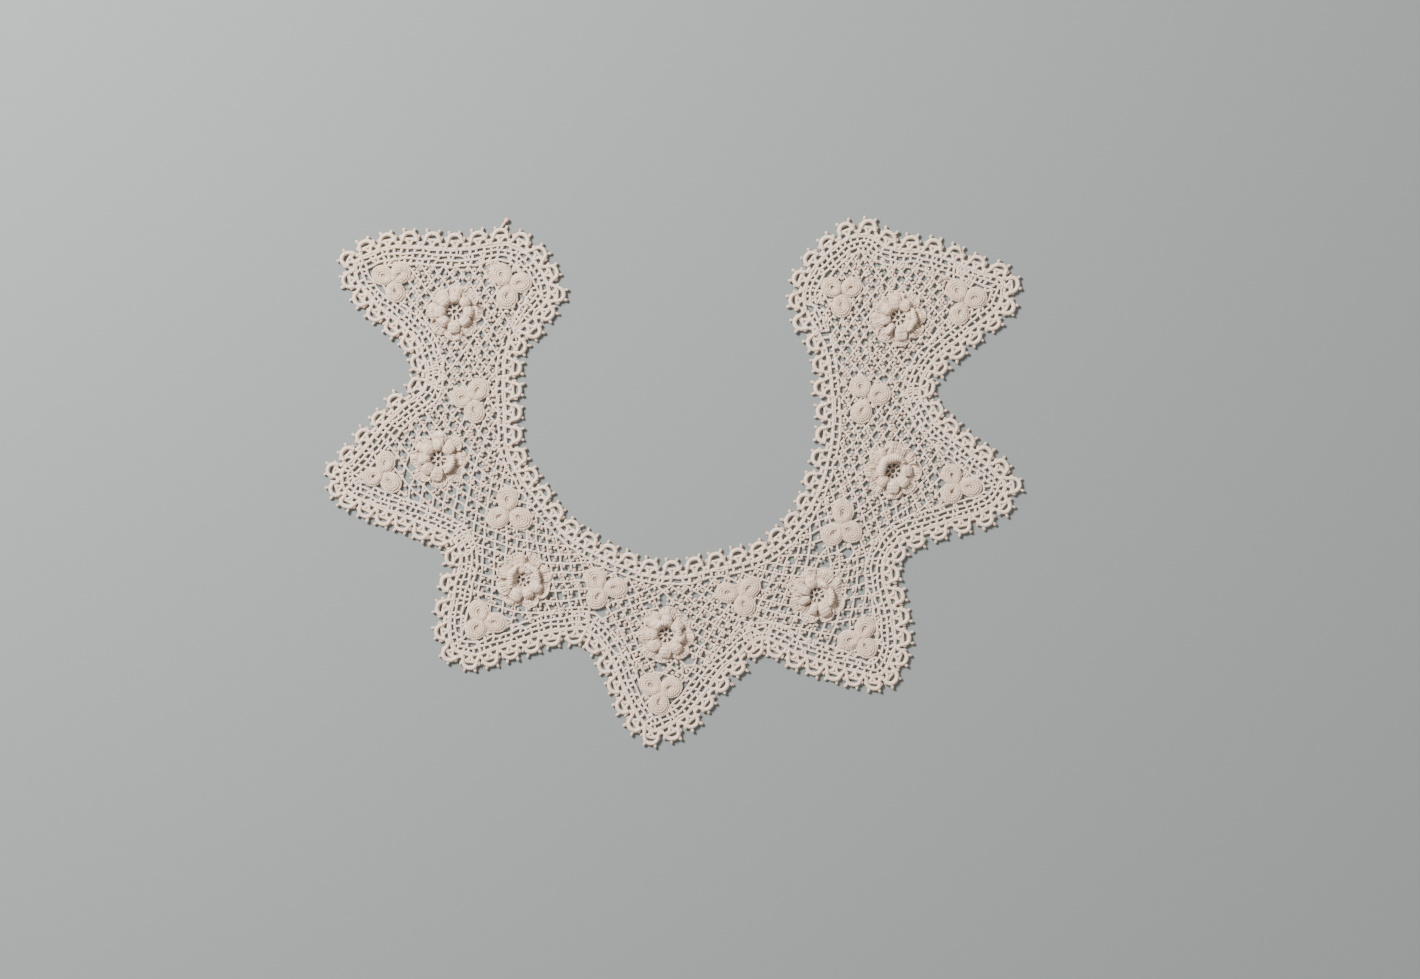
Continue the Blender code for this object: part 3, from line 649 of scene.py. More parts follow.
def join_piece(name, meshes, material):
    """One piece, at the origin, of several plain meshes of the same material."""
    objects = []
    for mesh in meshes:
        item = bpy.data.objects.new(name, mesh)
        bpy.context.scene.collection.objects.link(item)
        objects.append(item)
    piece = objects[0]
    if len(objects) > 1:
        with bpy.context.temp_override(active_object=piece, object=piece,
                                       selected_objects=objects,
                                       selected_editable_objects=objects):
            bpy.ops.object.join()
    piece.name = name
    piece.data.name = name
    places = np.empty(3 * len(piece.data.vertices))
    piece.data.vertices.foreach_get("co", places)
    places[2::3] = np.maximum(places[2::3], LOWEST)
    piece.data.vertices.foreach_set("co", places)
    piece.data.materials.clear()
    piece.data.materials.append(material)
    return piece


# ---------------------------------------------------------------- cotton

# The outputs that are read, where a node has several
MIXED_COLOUR = 2
OBJECT_PLACE = 3
ATTRIBUTE_NUMBER = 2
HEIGHT_OUTPUT = 2
DISTANCE_OUTPUT = 1

# Scales of the cotton's unevenness, a metre across: yellowed areas, spots, tufts and fluff
AGE_SCALE, SPOT_SCALE, TUFT_SCALE, FLUFF_SCALE = 34.0, 260.0, 820.0, 5200.0
# Strengths of the painted shade in the grooves, on the cords' sides, low down and in the creases,
# and the height up to which the low painted shade reaches
GROOVE_SHADE, SIDE_SHADE, LOW_SHADE, CREASE_SHADE = 0.4, 0.5, 0.6, 0.9
LOW_REACH = 0.8 * MM
# Where the noises count, from none to all, and how strong the spots are then
AGED_RANGE, SPOT_RANGE, TUFT_RANGE, SPOT_STRENGTH = (0.35, 0.68), (0.58, 0.8), (0.4, 0.7), 0.5
# Where the painted shade of the grooves and of the cords' sides starts and where it is full
GROOVE_RANGE, SIDE_RANGE = (-1.0, -0.1), (0.5, 1.0)
# Stains: the height of their middles, their soft edge in radii and how much the spots fray it
STAIN_HEIGHT, STAIN_EDGE, STAIN_FRAY = 1.0 * MM, (0.45, 1.1), 1.2
# How much the plies and the fluff raise the surface, and how rough it is at least and at most
PLY_RELIEF, FLUFF_RELIEF, BUMP_STRENGTH = 0.5, 0.9, 0.55
LEAST_ROUGH, FLUFF_ROUGH = 0.78, 0.16
SHEEN, SHEEN_ROUGHNESS, SPECULAR = 0.25, 0.5, 0.3


def blended(graph, factor, first, second):
    """A mix of two colours, each a colour or a socket."""
    first, second = (colour if isinstance(colour, Socket) else (*colour, 1.0)
                     for colour in (first, second))
    return graph.add("ShaderNodeMix", {"data_type": "RGBA"}, output=MIXED_COLOUR, Factor=factor,
                     A=first, B=second)


def cotton_material(name, colour, shade, dirt_and_shade_colour, relief=0.16 * MM, tufting=0.25):
    """Ecru crochet cotton: uneven with age, with painted shade between the stitches, on the cords'
    sides, low down and in the petals' creases, and with plied stitches.
    """
    material = bpy.data.materials.new(name)
    material.use_nodes = True
    graph = Graph(material.node_tree)
    place = graph.add("ShaderNodeTexCoord", None, output=OBJECT_PLACE)
    along, around, crease = (
        graph.add("ShaderNodeAttribute", {"attribute_name": layer}, output=ATTRIBUTE_NUMBER)
        for layer in ("along", "around", "crease"))
    broad, spots, tufts, fluff = (
        graph.add("ShaderNodeTexNoise", None, Vector=place, Scale=scale, Detail=detail,
                  Roughness=roughness)
        for scale, detail, roughness in ((AGE_SCALE, 3.0, 0.6), (SPOT_SCALE, 2.0, 0.55),
                                         (TUFT_SCALE, 2.0, 0.6), (FLUFF_SCALE, 3.0, 0.7)))
    aged = graph.add("ShaderNodeMapRange", None, broad, *AGED_RANGE)
    tone = blended(graph, aged, colour, shade)
    spotted = graph.add("ShaderNodeMapRange", None, spots, *SPOT_RANGE, 0.0, SPOT_STRENGTH)
    tone = blended(graph, spotted, tone, dirt_and_shade_colour)
    # V-shaped stitches: two plies that meet on the crest, with painted shade in the grooves
    # between them and on the cords' sides
    slant = ((around * 2.0).fraction() - 0.5).absolute() * 2.0
    ply = ((along + slant * 0.5) * (2 * math.pi)).sine()
    groove = graph.add("ShaderNodeMapRange", None, ply, *GROOVE_RANGE, GROOVE_SHADE, 0.0)
    side = graph.add("ShaderNodeMapRange", None, slant, *SIDE_RANGE, 0.0, SIDE_SHADE)
    # Painted shade low down: the nearer a point lies to the floor, up to LOW_REACH, the darker it
    # is painted
    height = graph.add("ShaderNodeSeparateXYZ", None, place, output=HEIGHT_OUTPUT)
    low = graph.add("ShaderNodeMapRange", None, height, 0.0, LOW_REACH, LOW_SHADE, 0.0)
    uneven = graph.add("ShaderNodeMapRange", None, tufts, *TUFT_RANGE, 0.0, tufting)
    # Painted shade: the strongest of the grooves', sides', low parts' and creases' darkening, with
    # the tufts' random unevenness added, mixed towards the dark colour
    shade_and_stain_mask = groove.maximum(side).maximum(low).maximum(crease * CREASE_SHADE)
    tone = blended(graph, shade_and_stain_mask + uneven, tone, dirt_and_shade_colour)
    for stain in STAINS:
        centre = (*(np.array((stain.x, stain.y)) * MM + TABLE_ORIGIN), STAIN_HEIGHT)
        away = graph.add("ShaderNodeVectorMath", {"operation": "DISTANCE"}, place, centre,
                         output=DISTANCE_OUTPUT)
        away = away * (1 / (stain.radius * MM)) + (spots - 0.5) * STAIN_FRAY
        shade_and_stain_mask = graph.add("ShaderNodeMapRange", None, away, *STAIN_EDGE, stain.strength, 0.0)
        tone = blended(graph, shade_and_stain_mask, tone, stain.colour)
    bump = graph.add("ShaderNodeBump", None, Height=ply * PLY_RELIEF + fluff * FLUFF_RELIEF,
                     Strength=BUMP_STRENGTH, Distance=relief)
    shader = graph.add("ShaderNodeBsdfPrincipled", None, Base_Color=tone,
                       Roughness=fluff * FLUFF_ROUGH + LEAST_ROUGH, Normal=bump,
                       Sheen_Weight=SHEEN, Sheen_Roughness=SHEEN_ROUGHNESS,
                       Specular_IOR_Level=SPECULAR)
    graph.add("ShaderNodeOutputMaterial", None, shader)
    return material


# ---------------------------------------------------------------- the net

class Net:
    """Rows of arches laid out from a guide along the neck, cut to the net's own place."""

    def __init__(self, line):
        self.random = np.random.default_rng(SEED)
        self.guide, self.ways = self.make_guide(line)
        self.loop = line.inset(NET_INSET)[1]
        self.rows = self.make_rows()
        self.cords, self.picots = [], []
        self.kept = [self.in_place(row.points) for row in self.rows]
        self.lay_chains()
        self.lay_strays()

    def make_guide(self, line):
        """Even points along the neck, run on upwards past both ends of the collar."""
        neck = slice(0, line.starts[NECK_STRETCHES])
        inset = line.points[neck] - line.normals[neck] * (NECK_BAND_WIDTH + SEAM_GAP)
        inset = inset[inset[:, 1] < GUIDE_TOP]
        left = inset[0] + (0.0, GUIDE_REACH)
        right = inset[-1] + (0.0, GUIDE_REACH)
        guide = soften(even_path(np.vstack((left, inset, right)), CURVE_STEP), GUIDE_SPREAD)
        tangent = np.gradient(guide, axis=0)
        tangent /= np.linalg.norm(tangent, axis=1, keepdims=True)
        return guide, np.column_stack((tangent[:, 1], -tangent[:, 0]))

    def flatness(self, places):
        """0 where the guide runs up an arm, 1 where it crosses the front."""
        way = np.interp(places, np.arange(len(self.ways)), np.abs(self.ways[:, 1]))
        return way ** 2

    def points_at(self, places, row):
        """Points of a row, at places along the guide."""
        index = np.arange(len(self.guide))
        base = np.column_stack([np.interp(places, index, c) for c in self.guide.T])
        way = np.column_stack([np.interp(places, index, c) for c in self.ways.T])
        step = ARM_ROW + (FRONT_ROW - ARM_ROW) * self.flatness(places)
        return base + way * (step * row * (1 + ROW_GROWTH * row))[:, None]

    def arch_widths(self, places, row):
        """How wide the arches of a row are, at places along the guide."""
        width = ARM_ARCH + (FRONT_ARCH - ARM_ARCH) * self.flatness(places)
        return width * (1 + 2 * ROW_GROWTH * max(row, 0))

    def make_rows(self):
        """Each row's arches stand on the middles of the arches before, with increases."""
        places = [0.0]
        while places[-1] < len(self.guide) - 2:
            places.append(places[-1] + self.arch_widths(np.array(places[-1:]), 0)[0] / CURVE_STEP)
        places = np.array(places)
        rows = [Row(FIRST_ROW, places, None, self.points_at(places, FIRST_ROW))]
        for number in range(FIRST_ROW + 1, LAST_ROW + 1):
            before = rows[-1].places
            spans = np.linalg.norm(np.diff(self.points_at(before, number), axis=0), axis=1)
            excess = 0.0
            places, hosts = [], []
            for i, span in enumerate(spans):
                middle = (before[i] + before[i + 1]) / 2
                if number > 0:
                    excess += span / self.arch_widths(np.array([middle]), number)[0] - 1
                shares = ONE_ARCH
                if excess > 1:
                    shares = TWO_ARCHES
                    excess -= 1
                for share in shares:
                    places.append(before[i] + share * (before[i + 1] - before[i]))
                    hosts.append(i)
            places, hosts = np.array(places), np.array(hosts)
            for _ in range(ROW_EVENINGS):
                even = (places[:-2] + places[2:]) / 2
                places[1:-1] += ROW_PULL * (even - places[1:-1])
            points = self.points_at(places, number)
            rows.append(Row(number, places, hosts, points))
        return self.even_out(rows)

    def even_out(self, rows):
        """Draw every knot towards the middle of the four that it is tied to."""
        first = np.cumsum([0] + [len(row.points) for row in rows])
        ties = []
        for level, row in enumerate(rows[1:], 1):
            for node, host in enumerate(row.hosts):
                before = node > 0 and row.hosts[node - 1] == host
                after = node + 1 < len(row.hosts) and row.hosts[node + 1] == host
                here = first[level] + node
                if not before:
                    ties.append((here, first[level - 1] + host))
                if not after:
                    ties.append((here, first[level - 1] + host + 1))
                else:
                    ties.append((here, here + 1))
        ties = np.array(ties + [(b, a) for a, b in ties])
        points = np.vstack([row.points for row in rows])
        count = np.bincount(ties[:, 0], minlength=len(points))
        inner = np.flatnonzero(count == KNOT_TIES)
        for _ in range(NET_EVENINGS):
            total = np.column_stack([np.bincount(ties[:, 0], points[ties[:, 1], axis],
                                                 len(points)) for axis in (0, 1)])
            points[inner] += NET_PULL * (total[inner] / KNOT_TIES - points[inner])
        points += self.random.normal(0.0, KNOT_DRIFT, points.shape)
        return [row._replace(points=points[first[i]:first[i + 1]])
                for i, row in enumerate(rows)]

    def in_place(self, points):
        """Which points lie inside the net's loop and clear of the motifs."""
        kept = inside_loop(points, self.loop)
        for rose in ROSES:
            kept &= outside_rose(rose, points) > PETAL_CLEAR
        for shamrock in SHAMROCKS:
            for centre in coil_centres(shamrock):
                reach = (shamrock.radius + COIL_CLEAR) * MM
                kept &= np.linalg.norm(points - centre, axis=1) > reach
        return kept

    def fasten(self, inner, outer):
        """Where a thread that leaves the net is made fast: a petal, a coil or the border."""
        low, high = 0.0, 1.0
        for _ in range(FASTENING_STEPS):
            middle = (low + high) / 2
            if self.in_place((inner + middle * (outer - inner))[None])[0]:
                low = middle
            else:
                high = middle
        way = (outer - inner) / np.linalg.norm(outer - inner)
        return inner + high * (outer - inner) + way * MADE_FAST

    def lay_chains(self):
        """Follow both families of threads up through the rows and keep the runs in place."""
        for lean in (0, 1):
            followers = []
            for row, above in zip(self.rows, self.rows[1:] + [None]):
                links = {}
                if above is not None:
                    order = range(len(above.hosts)) if lean else reversed(range(len(above.hosts)))
                    for child in order:
                        links[above.hosts[child] + lean] = child
                followers.append(links)
            reached = [set() for _ in self.rows]
            for level, links in enumerate(followers):
                for node in range(len(self.rows[level].places)):
                    if node in reached[level]:
                        continue
                    chain = [(level, node)]
                    while chain[-1][1] in followers[chain[-1][0]]:
                        high, current = chain[-1]
                        chain.append((high + 1, followers[high][current]))
                        reached[high + 1].add(chain[-1][1])
                    self.cut_chain(chain)
        for level, row in enumerate(self.rows[1:], 1):
            twins = np.flatnonzero(row.hosts[1:] == row.hosts[:-1])
            for first in twins:
                if self.kept[level][first] and self.kept[level][first + 1]:
                    self.add_run(row.points[first:first + 2])

    def lay_strays(self):
        """The loops of thread that have come loose."""
        for stray in STRAYS:
            path = smooth_path(np.array(stray) * MM + TABLE_ORIGIN, 3)
            rise = np.sin(np.linspace(0.0, math.pi, len(path)))
            heights = (STRAY_HEIGHT + STRAY_RISE * rise) * MM
            self.cords.append(Cord(np.column_stack((path, heights)), STRAY_WIDTH))

    def cut_chain(self, chain):
        """Lay the runs of a thread that are in place, and make their ends fast."""
        run = []
        for (level, node), (above, child) in zip(chain, chain[1:]):
            start, end = self.rows[level].points[node], self.rows[above].points[child]
            here, there = self.kept[level][node], self.kept[above][child]
            if not here and not there:
                continue
            if not here:
                start = self.fasten(end, start)
            if not there:
                end = self.fasten(start, end)
            run = (run or [start]) + [end]
            if not there:
                self.add_run(run)
                run = []
            self.add_picots(start, end, self.rows[level].number)
        self.add_run(run)

    def add_run(self, run):
        """A thread through its knots, which are a little wider than the chains between."""
        if len(run) > 1:
            path = smooth_path(run, SPAN_POINTS)
            path[1:-1] += self.random.normal(0.0, THREAD_DRIFT, path[1:-1].shape)
            height = NET_HEIGHT + self.random.uniform(-HEIGHT_SPREAD, HEIGHT_SPREAD) * MM
            widths = np.full(len(path), self.random.uniform(*WIDTH_SPREAD))
            widths[::SPAN_POINTS] *= KNOT_WIDTH
            self.cords.append(Cord(lift(path, height), widths))

    def add_picots(self, start, end, number):
        """Picots of neighbouring rows face each other, so starry cells and open ones take turns;
        a long chain has one on each side."""
        side = end - start
        length = np.linalg.norm(side)
        steep = abs(math.atan2(side[0], side[1]))
        steep = min(steep, math.pi - steep)
        chance = UPRIGHT_CHANCE if steep < UPRIGHT_ANGLE else PICOT_CHANCE
        across = np.array((-side[1], side[0])) / length
        outwards = self.rows_way(start, across)
        if (number % 2) ^ (self.random.uniform() < TURNED_CHANCE):
            outwards = -outwards
        shares = ONE_PICOT if length < LONG_CHAIN else TWO_PICOTS
        for share in shares:
            draw, slide, tilt, size = self.random.uniform(0.0, 1.0, 4)
            if draw < chance and length > SHORT_CHAIN:
                shifted = share - PICOT_SHIFT / 2 + PICOT_SHIFT * slide
                base = start + side * shifted + outwards * PICOT_OUT * MM
                turn = math.atan2(outwards[1], outwards[0]) + (slide - 0.5) * PICOT_SWING
                sizes = [(least + more * size) * MM for least, more in PICOT_SIZES]
                self.picots.append(Picot((*base, NET_HEIGHT + PICOT_ABOVE), turn,
                                         (tilt - LEVEL_TILT) * PICOT_TILT, *sizes))
            outwards = -outwards

    def rows_way(self, point, across):
        """The sense of a thread's normal that leads away from the neck."""
        nearest = int(np.argmin(np.linalg.norm(self.guide - point, axis=1)))
        return across if across @ self.ways[nearest] > 0 else -across


# ---------------------------------------------------------------- borders and edging

def clear_of_motifs(points):
    """Which points lie outside every coil of the shamrocks and every rose."""
    clear = np.ones(len(points), bool)
    for shamrock in SHAMROCKS:
        for centre in coil_centres(shamrock):
            reach = (shamrock.radius - UNDER_COIL) * MM
            clear &= np.linalg.norm(points - centre, axis=1) > reach
    for rose in ROSES:
        clear &= np.linalg.norm(points - rose_centre(rose), axis=1) > ROSE_VALLEY
    return clear


def clear_runs(points):
    """The stretches of a line that lie outside the motifs."""
    clear = clear_of_motifs(points)
    changes = np.flatnonzero(np.diff(clear)) + 1
    runs = zip(np.split(points, changes), np.split(clear, changes))
    return [run for run, free in runs if free.all() and len(run) >= LEAST_POINTS]


def round_path(line, share, first, last):
    """Even points of one round between two places of the line."""
    kept, points = line.inset(share)
    places = (kept - first) % len(line.points) + first
    order = np.argsort(places)
    order = order[places[order] <= last]
    path = soften(points[order], ROUND_SMOOTHING)
    lengths = np.concatenate(([0.0], np.cumsum(np.linalg.norm(np.diff(path, axis=0), axis=1))))
    targets = np.arange(0.0, lengths[-1], ROUND_STEP)
    return np.column_stack([np.interp(targets, lengths, column) for column in path.T])


def worked_close(point):
    """Whether a point lies in one of the clumps."""
    return any(math.hypot(point[0] / MM - clump.x, point[1] / MM - clump.y) < clump.radius
               for clump in CLUMPS)


def cell_rounds(line, first, last, shares, pitch, seed):
    """Rounds of small cells: cords that follow the edge, with posts between them."""
    random = np.random.default_rng(seed)
    cords, rails = [], []
    for share in shares:
        rail = round_path(line, share, first, last)
        drift = random.normal(0.0, RAIL_DRAWN * RAIL_DRIFT, rail.shape)
        rail = rail + soften(drift, RAIL_SMOOTHING)
        rails.append(rail)
        for run in clear_runs(rail):
            swell = soften(random.normal(0.0, SWELL_DRAWN, (len(run), 1)), SWELL_SMOOTHING)[:, 0]
            widths = 1 + RAIL_SWELL * swell
            cords.append(Cord(lift(run, ROUND_HEIGHT), widths))
    for level, (outer, inner) in enumerate(zip(rails, rails[1:])):
        place = random.uniform(0.0, pitch / ROUND_STEP)
        while place < len(outer) - 1:
            start = outer[int(place)]
            near = int(np.argmin(np.linalg.norm(inner - start, axis=1)))
            slant = round(random.normal(0.0, SLANT + SLANT_GROWTH * level) * MM / ROUND_STEP)
            end = inner[min(max(near + slant, 0), len(inner) - 1)]
            middle = (start + end) / 2 + random.normal(0.0, POST_DRIFT, 2)
            post = np.array((start, middle, end))
            if clear_of_motifs(post).all():
                widths = random.uniform(*POST_SPREAD) * POST_WIDTHS
                cords.append(Cord(lift(smooth_path(post, 2), ROUND_HEIGHT - POST_DROP), widths))
            closer = CLOSER if worked_close(start) else 1.0
            place += closer * pitch / ROUND_STEP * random.uniform(*PITCH_SPREAD)
    return cords


# One cord of a scallop: its points (reach, height) from the scallop's middle and its height above
# the ground, in millimetres, and the spread of its width
Arch = namedtuple("Arch", "points lie widths")


class Edging:
    """Scallops of two base arches and a top arch, with four picots each."""

    # one base arch, the top arch, the stitches between the two base arches, and the foot between
    # one scallop and the next
    BASE = Arch(((0.35, 0.2), (0.5, 1.6), (1.2, 2.7), (2.3, 3.05), (3.4, 2.7), (4.1, 1.5),
                 (4.3, 0.2)), 0.7, (1.08, 1.24))
    TOP = Arch(((-3.3, 2.8), (-3.0, 3.9), (-2.6, 5.0), (-1.5, 5.85), (0.0, 6.1), (1.5, 5.85),
                (2.6, 5.0), (3.0, 3.9), (3.3, 2.8)), 0.85, (1.4, 1.6))
    JOINT = Arch(((-2.0, 3.5), (0.0, 3.3), (2.0, 3.5)), 0.7, (1.0, 1.15))
    FOOT = Arch(((-1.2, 2.1), (0.0, 1.8), (1.2, 2.1)), 0.66, (1.15, 1.35))
    # the cord along the foundation: how far out and how high it lies
    FOUNDATION_OUT, FOUNDATION_LIE = 0.35 * MM, 0.62 * MM
    # reach, height, angle from the base and length of the picots on each side, and the spreads of
    # their turn, tilt, length and width
    PICOTS = ((2.0, 5.7, 70.0, 3.1), (3.6, 3.1, 74.0, 2.7))
    PICOT_LIE = 0.66 * MM
    PICOT_TURN, PICOT_TILTS = 0.12, (-0.05, 0.2)
    PICOT_LENGTHS, PICOT_WIDTHS = (0.85, 1.15), (1.4, 1.75)
    # how far the scallops of a stretch reach, the reach elsewhere, its spread, and how much the
    # scallops lean
    REACH = {"neck_left": 1.24, "neck_right": 1.2, "neck_front": 1.12, "end_left": 1.06,
             "point_5_side": 1.1}
    USUAL_REACH, REACH_SPREAD = 1.04, (0.94, 1.06)
    LEAN = 0.25
    # the height that a scallop starts to lean from and the one over which it does, in millimetres,
    # and the height that its upright is taken at
    LEAN_FROM, LEAN_OVER = 2.0, 6
    UPRIGHT_HEIGHT = 4.0 * MM
    # the one picot worked far too long: its place, its turn, and the length and width of its
    # stem and of its tip
    LONG_PICOT = ((-78.6, 114.4), 0.93, ((5.6, 1.3), (2.7, 2.2)))
    LONG_PICOT_LIE = 0.9 * MM

    def __init__(self, line, numbers, seed):
        self.line = line
        self.random = np.random.default_rng(seed)
        self.cords, self.picots = [], []
        for number in numbers:
            places = line.scallop_places(number)
            foundation = np.array([line.at(place, self.FOUNDATION_OUT)
                                   for place in np.arange(places[0], places[-1] + 0.5, 1.0)])
            self.cords.append(Cord(lift(foundation, self.FOUNDATION_LIE), 1.0))
            self.reach = self.REACH.get(STRETCHES[number].name, self.USUAL_REACH)
            for start, end in zip(places[:-1], places[1:]):
                self.add_scallop(start, end)
            if STRETCHES[number].name == "end_left":
                self.add_long_picot()

    def add_long_picot(self):
        """The picot that was worked far too long, as a stem and a tip."""
        place, turn, parts = self.LONG_PICOT
        way = np.array((math.cos(turn), math.sin(turn)))
        base = np.array(place) * MM + TABLE_ORIGIN
        for length, width in parts:
            self.picots.append(Picot((*base, self.LONG_PICOT_LIE), turn, 0.0, length * MM,
                                     width * MM))
            base = base + way * 0.68 * length * MM

    def place(self, start, end, reach, height):
        """The point at a reach from the middle of the scallop between two places."""
        line = self.line
        pitch = np.linalg.norm(line.at(end, height) - line.at(start, height))
        share = 0.5 + reach / max(pitch, SCALLOP_PITCH)
        return line.at(start + share * (end - start), height)

    def add_arch(self, arch, spot, side=1):
        """Lay one cord of a scallop."""
        path = smooth_path([spot(side * x, y) for x, y in arch.points], 2)
        self.cords.append(Cord(lift(path, arch.lie * MM), self.random.uniform(*arch.widths)))

    def add_scallop(self, start, end):
        """One scallop between two places of the line, with its picots."""
        grow = self.reach * self.random.uniform(*self.REACH_SPREAD)
        lean = self.random.normal(0.0, self.LEAN)

        def spot(x, y):
            leaning = lean * max(y - self.LEAN_FROM, 0.0) / self.LEAN_OVER
            return self.place(start, end, (x + leaning) * MM, y * grow * MM)

        for side in (-1, 1):
            self.add_arch(self.BASE, spot, side)
        self.add_arch(self.JOINT, spot)
        self.add_arch(self.TOP, spot)
        foot = [self.line.at(start + shift * MM / CURVE_STEP, height * MM)
                for shift, height in self.FOOT.points]
        self.cords.append(Cord(lift(foot, self.FOOT.lie * MM),
                               self.random.uniform(*self.FOOT.widths)))
        middle = self.place(start, end, 0.0, self.UPRIGHT_HEIGHT)
        foot = self.place(start, end, 0.0, 0.0)
        up = math.atan2(*(middle - foot)[::-1])
        for side in (-1, 1):
            for x, y, angle, length in self.PICOTS:
                base = spot(side * x, y)
                turn = (up + side * math.radians(angle - 90.0)
                        + self.random.normal(0.0, self.PICOT_TURN))
                self.picots.append(Picot((*base, self.PICOT_LIE), turn,
                                         self.random.uniform(*self.PICOT_TILTS),
                                         length * self.random.uniform(*self.PICOT_LENGTHS) * MM,
                                         self.random.uniform(*self.PICOT_WIDTHS) * MM))


# ---------------------------------------------------------------- roses

# Petals: where they start, the edge's valley and tip, their share of the round, their fullness,
# the slope at the base and at the edge and how it turns, the height they start at, how far the
# sides sink, the wall and how round the edge is
Profile = namedtuple("Profile", "inner valley tip spread fullness rise droop bend base cup thick "
                                "round")
OUTER_PETAL = Profile(4.4 * MM, 10.0 * MM, 12.4 * MM, 1.03, 1.02, 0.16, -0.1, 1.4, 0.8 * MM, 0.5,
                      0.6 * MM, 2.6)
# Inner petals: how far past the open middle they start, where they end, half their width and
# their height, in millimetres
Puff = namedtuple("Puff", "start end half height")
PUFFS = {
    "r": Puff(-0.1, 9.2, 2.7, 1.9),
    "n": Puff(-0.2, 9.2, 1.85, 1.9),
    "l": Puff(0.1, 8.0, 2.4, 1.0),
    "f": Puff(0.1, 10.5, 3.0, 1.7),
}
PUFF_BASE, PUFF_DEPTH = 1.4 * MM, 0.6 * MM
ROUNDNESS = 2.5
RIB_RELIEF = 0.32 * MM
# The height of the crumple, and its smoothing from row to row and along a row
CRUMPLE, CRUMPLE_SMOOTHING = 0.95 * MM, (0.7, 1.6)
# A flat petal: how its sides sink and level out, how its ribs rise from its base, and how sharply
# the painted shade darkens it at its sides and its base; the last for a puff too
SIDE_SINK, SIDE_LEVEL = 2.6, 0.25
RIB_START, RIB_GROWTH = 0.2, 3.0
PETAL_CREASE, PUFF_CREASE = 6, 8
# Ribs and rows of stitches of a petal of each round
PETAL_RIBS, PETAL_ROWS = 7, 7
PUFF_RIBS, PUFF_ROWS = 5, 8
# How a petal departs from the others: the spread of its tip or end, and of its lean or turn
TIP_SPREAD, END_SPREAD, PETAL_LEAN = (0.97, 1.03), (0.96, 1.04), 0.05
# The lowest that a petal's top and its underside lie, and how far its edge cord lies below it
TOP_LOWEST, UNDER_LOWEST, EDGE_DROP = 0.5 * MM, 0.05 * MM, 0.2 * MM
EDGE_WIDTHS = (0.95, 1.1)
# Length of a petal's stitches along its ribs, in millimetres
PETAL_STITCH = 1.7
# The wheel: radius of the hub ring, how far outside the opening the rim is, the radius and the
# height of its rings, and the spokes' start, heights, bend and widths, in millimetres
HUB, RIM_OUT, UPPER_RIM_OUT = 1.4, 0.35, 0.2
HUB_LIE, RIM_LIE, UPPER_RIM_LIE = 0.64 * MM, 0.72 * MM, 1.25 * MM
SPOKE_START, SPOKE_HEIGHTS = 1.7, (0.6, 0.55, 0.6, 0.8)
SPOKE_BEND, SPOKE_WIDTHS = 0.05, (0.98, 1.18)
# A rolled edge: its height, how much a wide one lies higher, its lobes where it is long, and the
# least share of its width at its ends
ROLL_LIE, ROLL_RISE = 1.75, 0.33
ROLL_LOBE, ROLL_LOBES, LONG_ROLL = 0.25, 5, 90
ROLL_END = 0.45
# Its chain: its width is given in millimetres, so its thread is one
ROLL_CHAIN = {"Thread width": MM, "Stitch": 1.1 * MM, "Steps per stitch": 3, "Swell": 0.06,
              "Sides": 12, "Flatness": 0.85}


def crumpled(rows, columns, random):
    """Uneven heights for the points of a grid."""
    heights = random.normal(0.0, CRUMPLE, (rows + 1, columns))
    between, along = CRUMPLE_SMOOTHING
    return soften(soften(heights, between).T, along).T.ravel()


def petal_grid(rose, heading, profile, ribs, rows, random):
    """Points of one petal: a lobed sheet whose ribs run from its base to its edge."""
    centre = rose_centre(rose)
    columns = 3 * ribs + 1
    half = math.pi / PETALS * profile.spread
    bulge = profile.tip * random.uniform(*TIP_SPREAD)
    lean = random.normal(0.0, PETAL_LEAN)
    top, under, marks = [], [], []
    crumple = crumpled(rows, columns, random)
    for t in np.linspace(0.0, 1.0, rows + 1):
        for a in np.linspace(-1.0, 1.0, columns):
            outline = profile.valley + (bulge - profile.valley) * (1 - abs(a) ** profile.round)
            length = (outline - profile.inner) * profile.fullness
            # the petal's slope turns evenly from its base to its edge
            steps = np.linspace(0.0, t, 9)
            slope = profile.rise + (profile.droop - profile.rise) * steps ** profile.bend
            slope = slope * (1 - SIDE_LEVEL * a * a)
            grown = min(1.0, RIB_GROWTH * t + RIB_START)
            crest = RIB_RELIEF * math.cos(math.pi * ribs * a) * grown
            reach = profile.inner + length * t * np.cos(slope).mean() - math.sin(slope[-1]) * crest
            height = length * t * np.sin(slope).mean()
            height *= 1 - profile.cup * abs(a) ** SIDE_SINK
            height += math.cos(slope[-1]) * crest + crumple[len(top)]
            z = max(TOP_LOWEST, profile.base + height)
            angle = heading + a * half + lean * t * (1 - a * a)
            way = np.array((math.cos(angle), math.sin(angle)))
            low = reach + math.sin(slope[-1]) * profile.thick
            top.append((*(centre + reach * way), z))
            under.append((*(centre + low * way),
                          max(UNDER_LOWEST, z - math.cos(slope[-1]) * profile.thick)))
            # Painted shade at the petal's sides and base, where it meets its neighbours and the
            # middle
            crease = max(abs(a) ** PETAL_CREASE, (1 - t) ** PETAL_CREASE)
            marks.append(((ribs * a + 1) / 4, t * length / MM, crease))
    return np.array(top), np.array(under), marks, columns


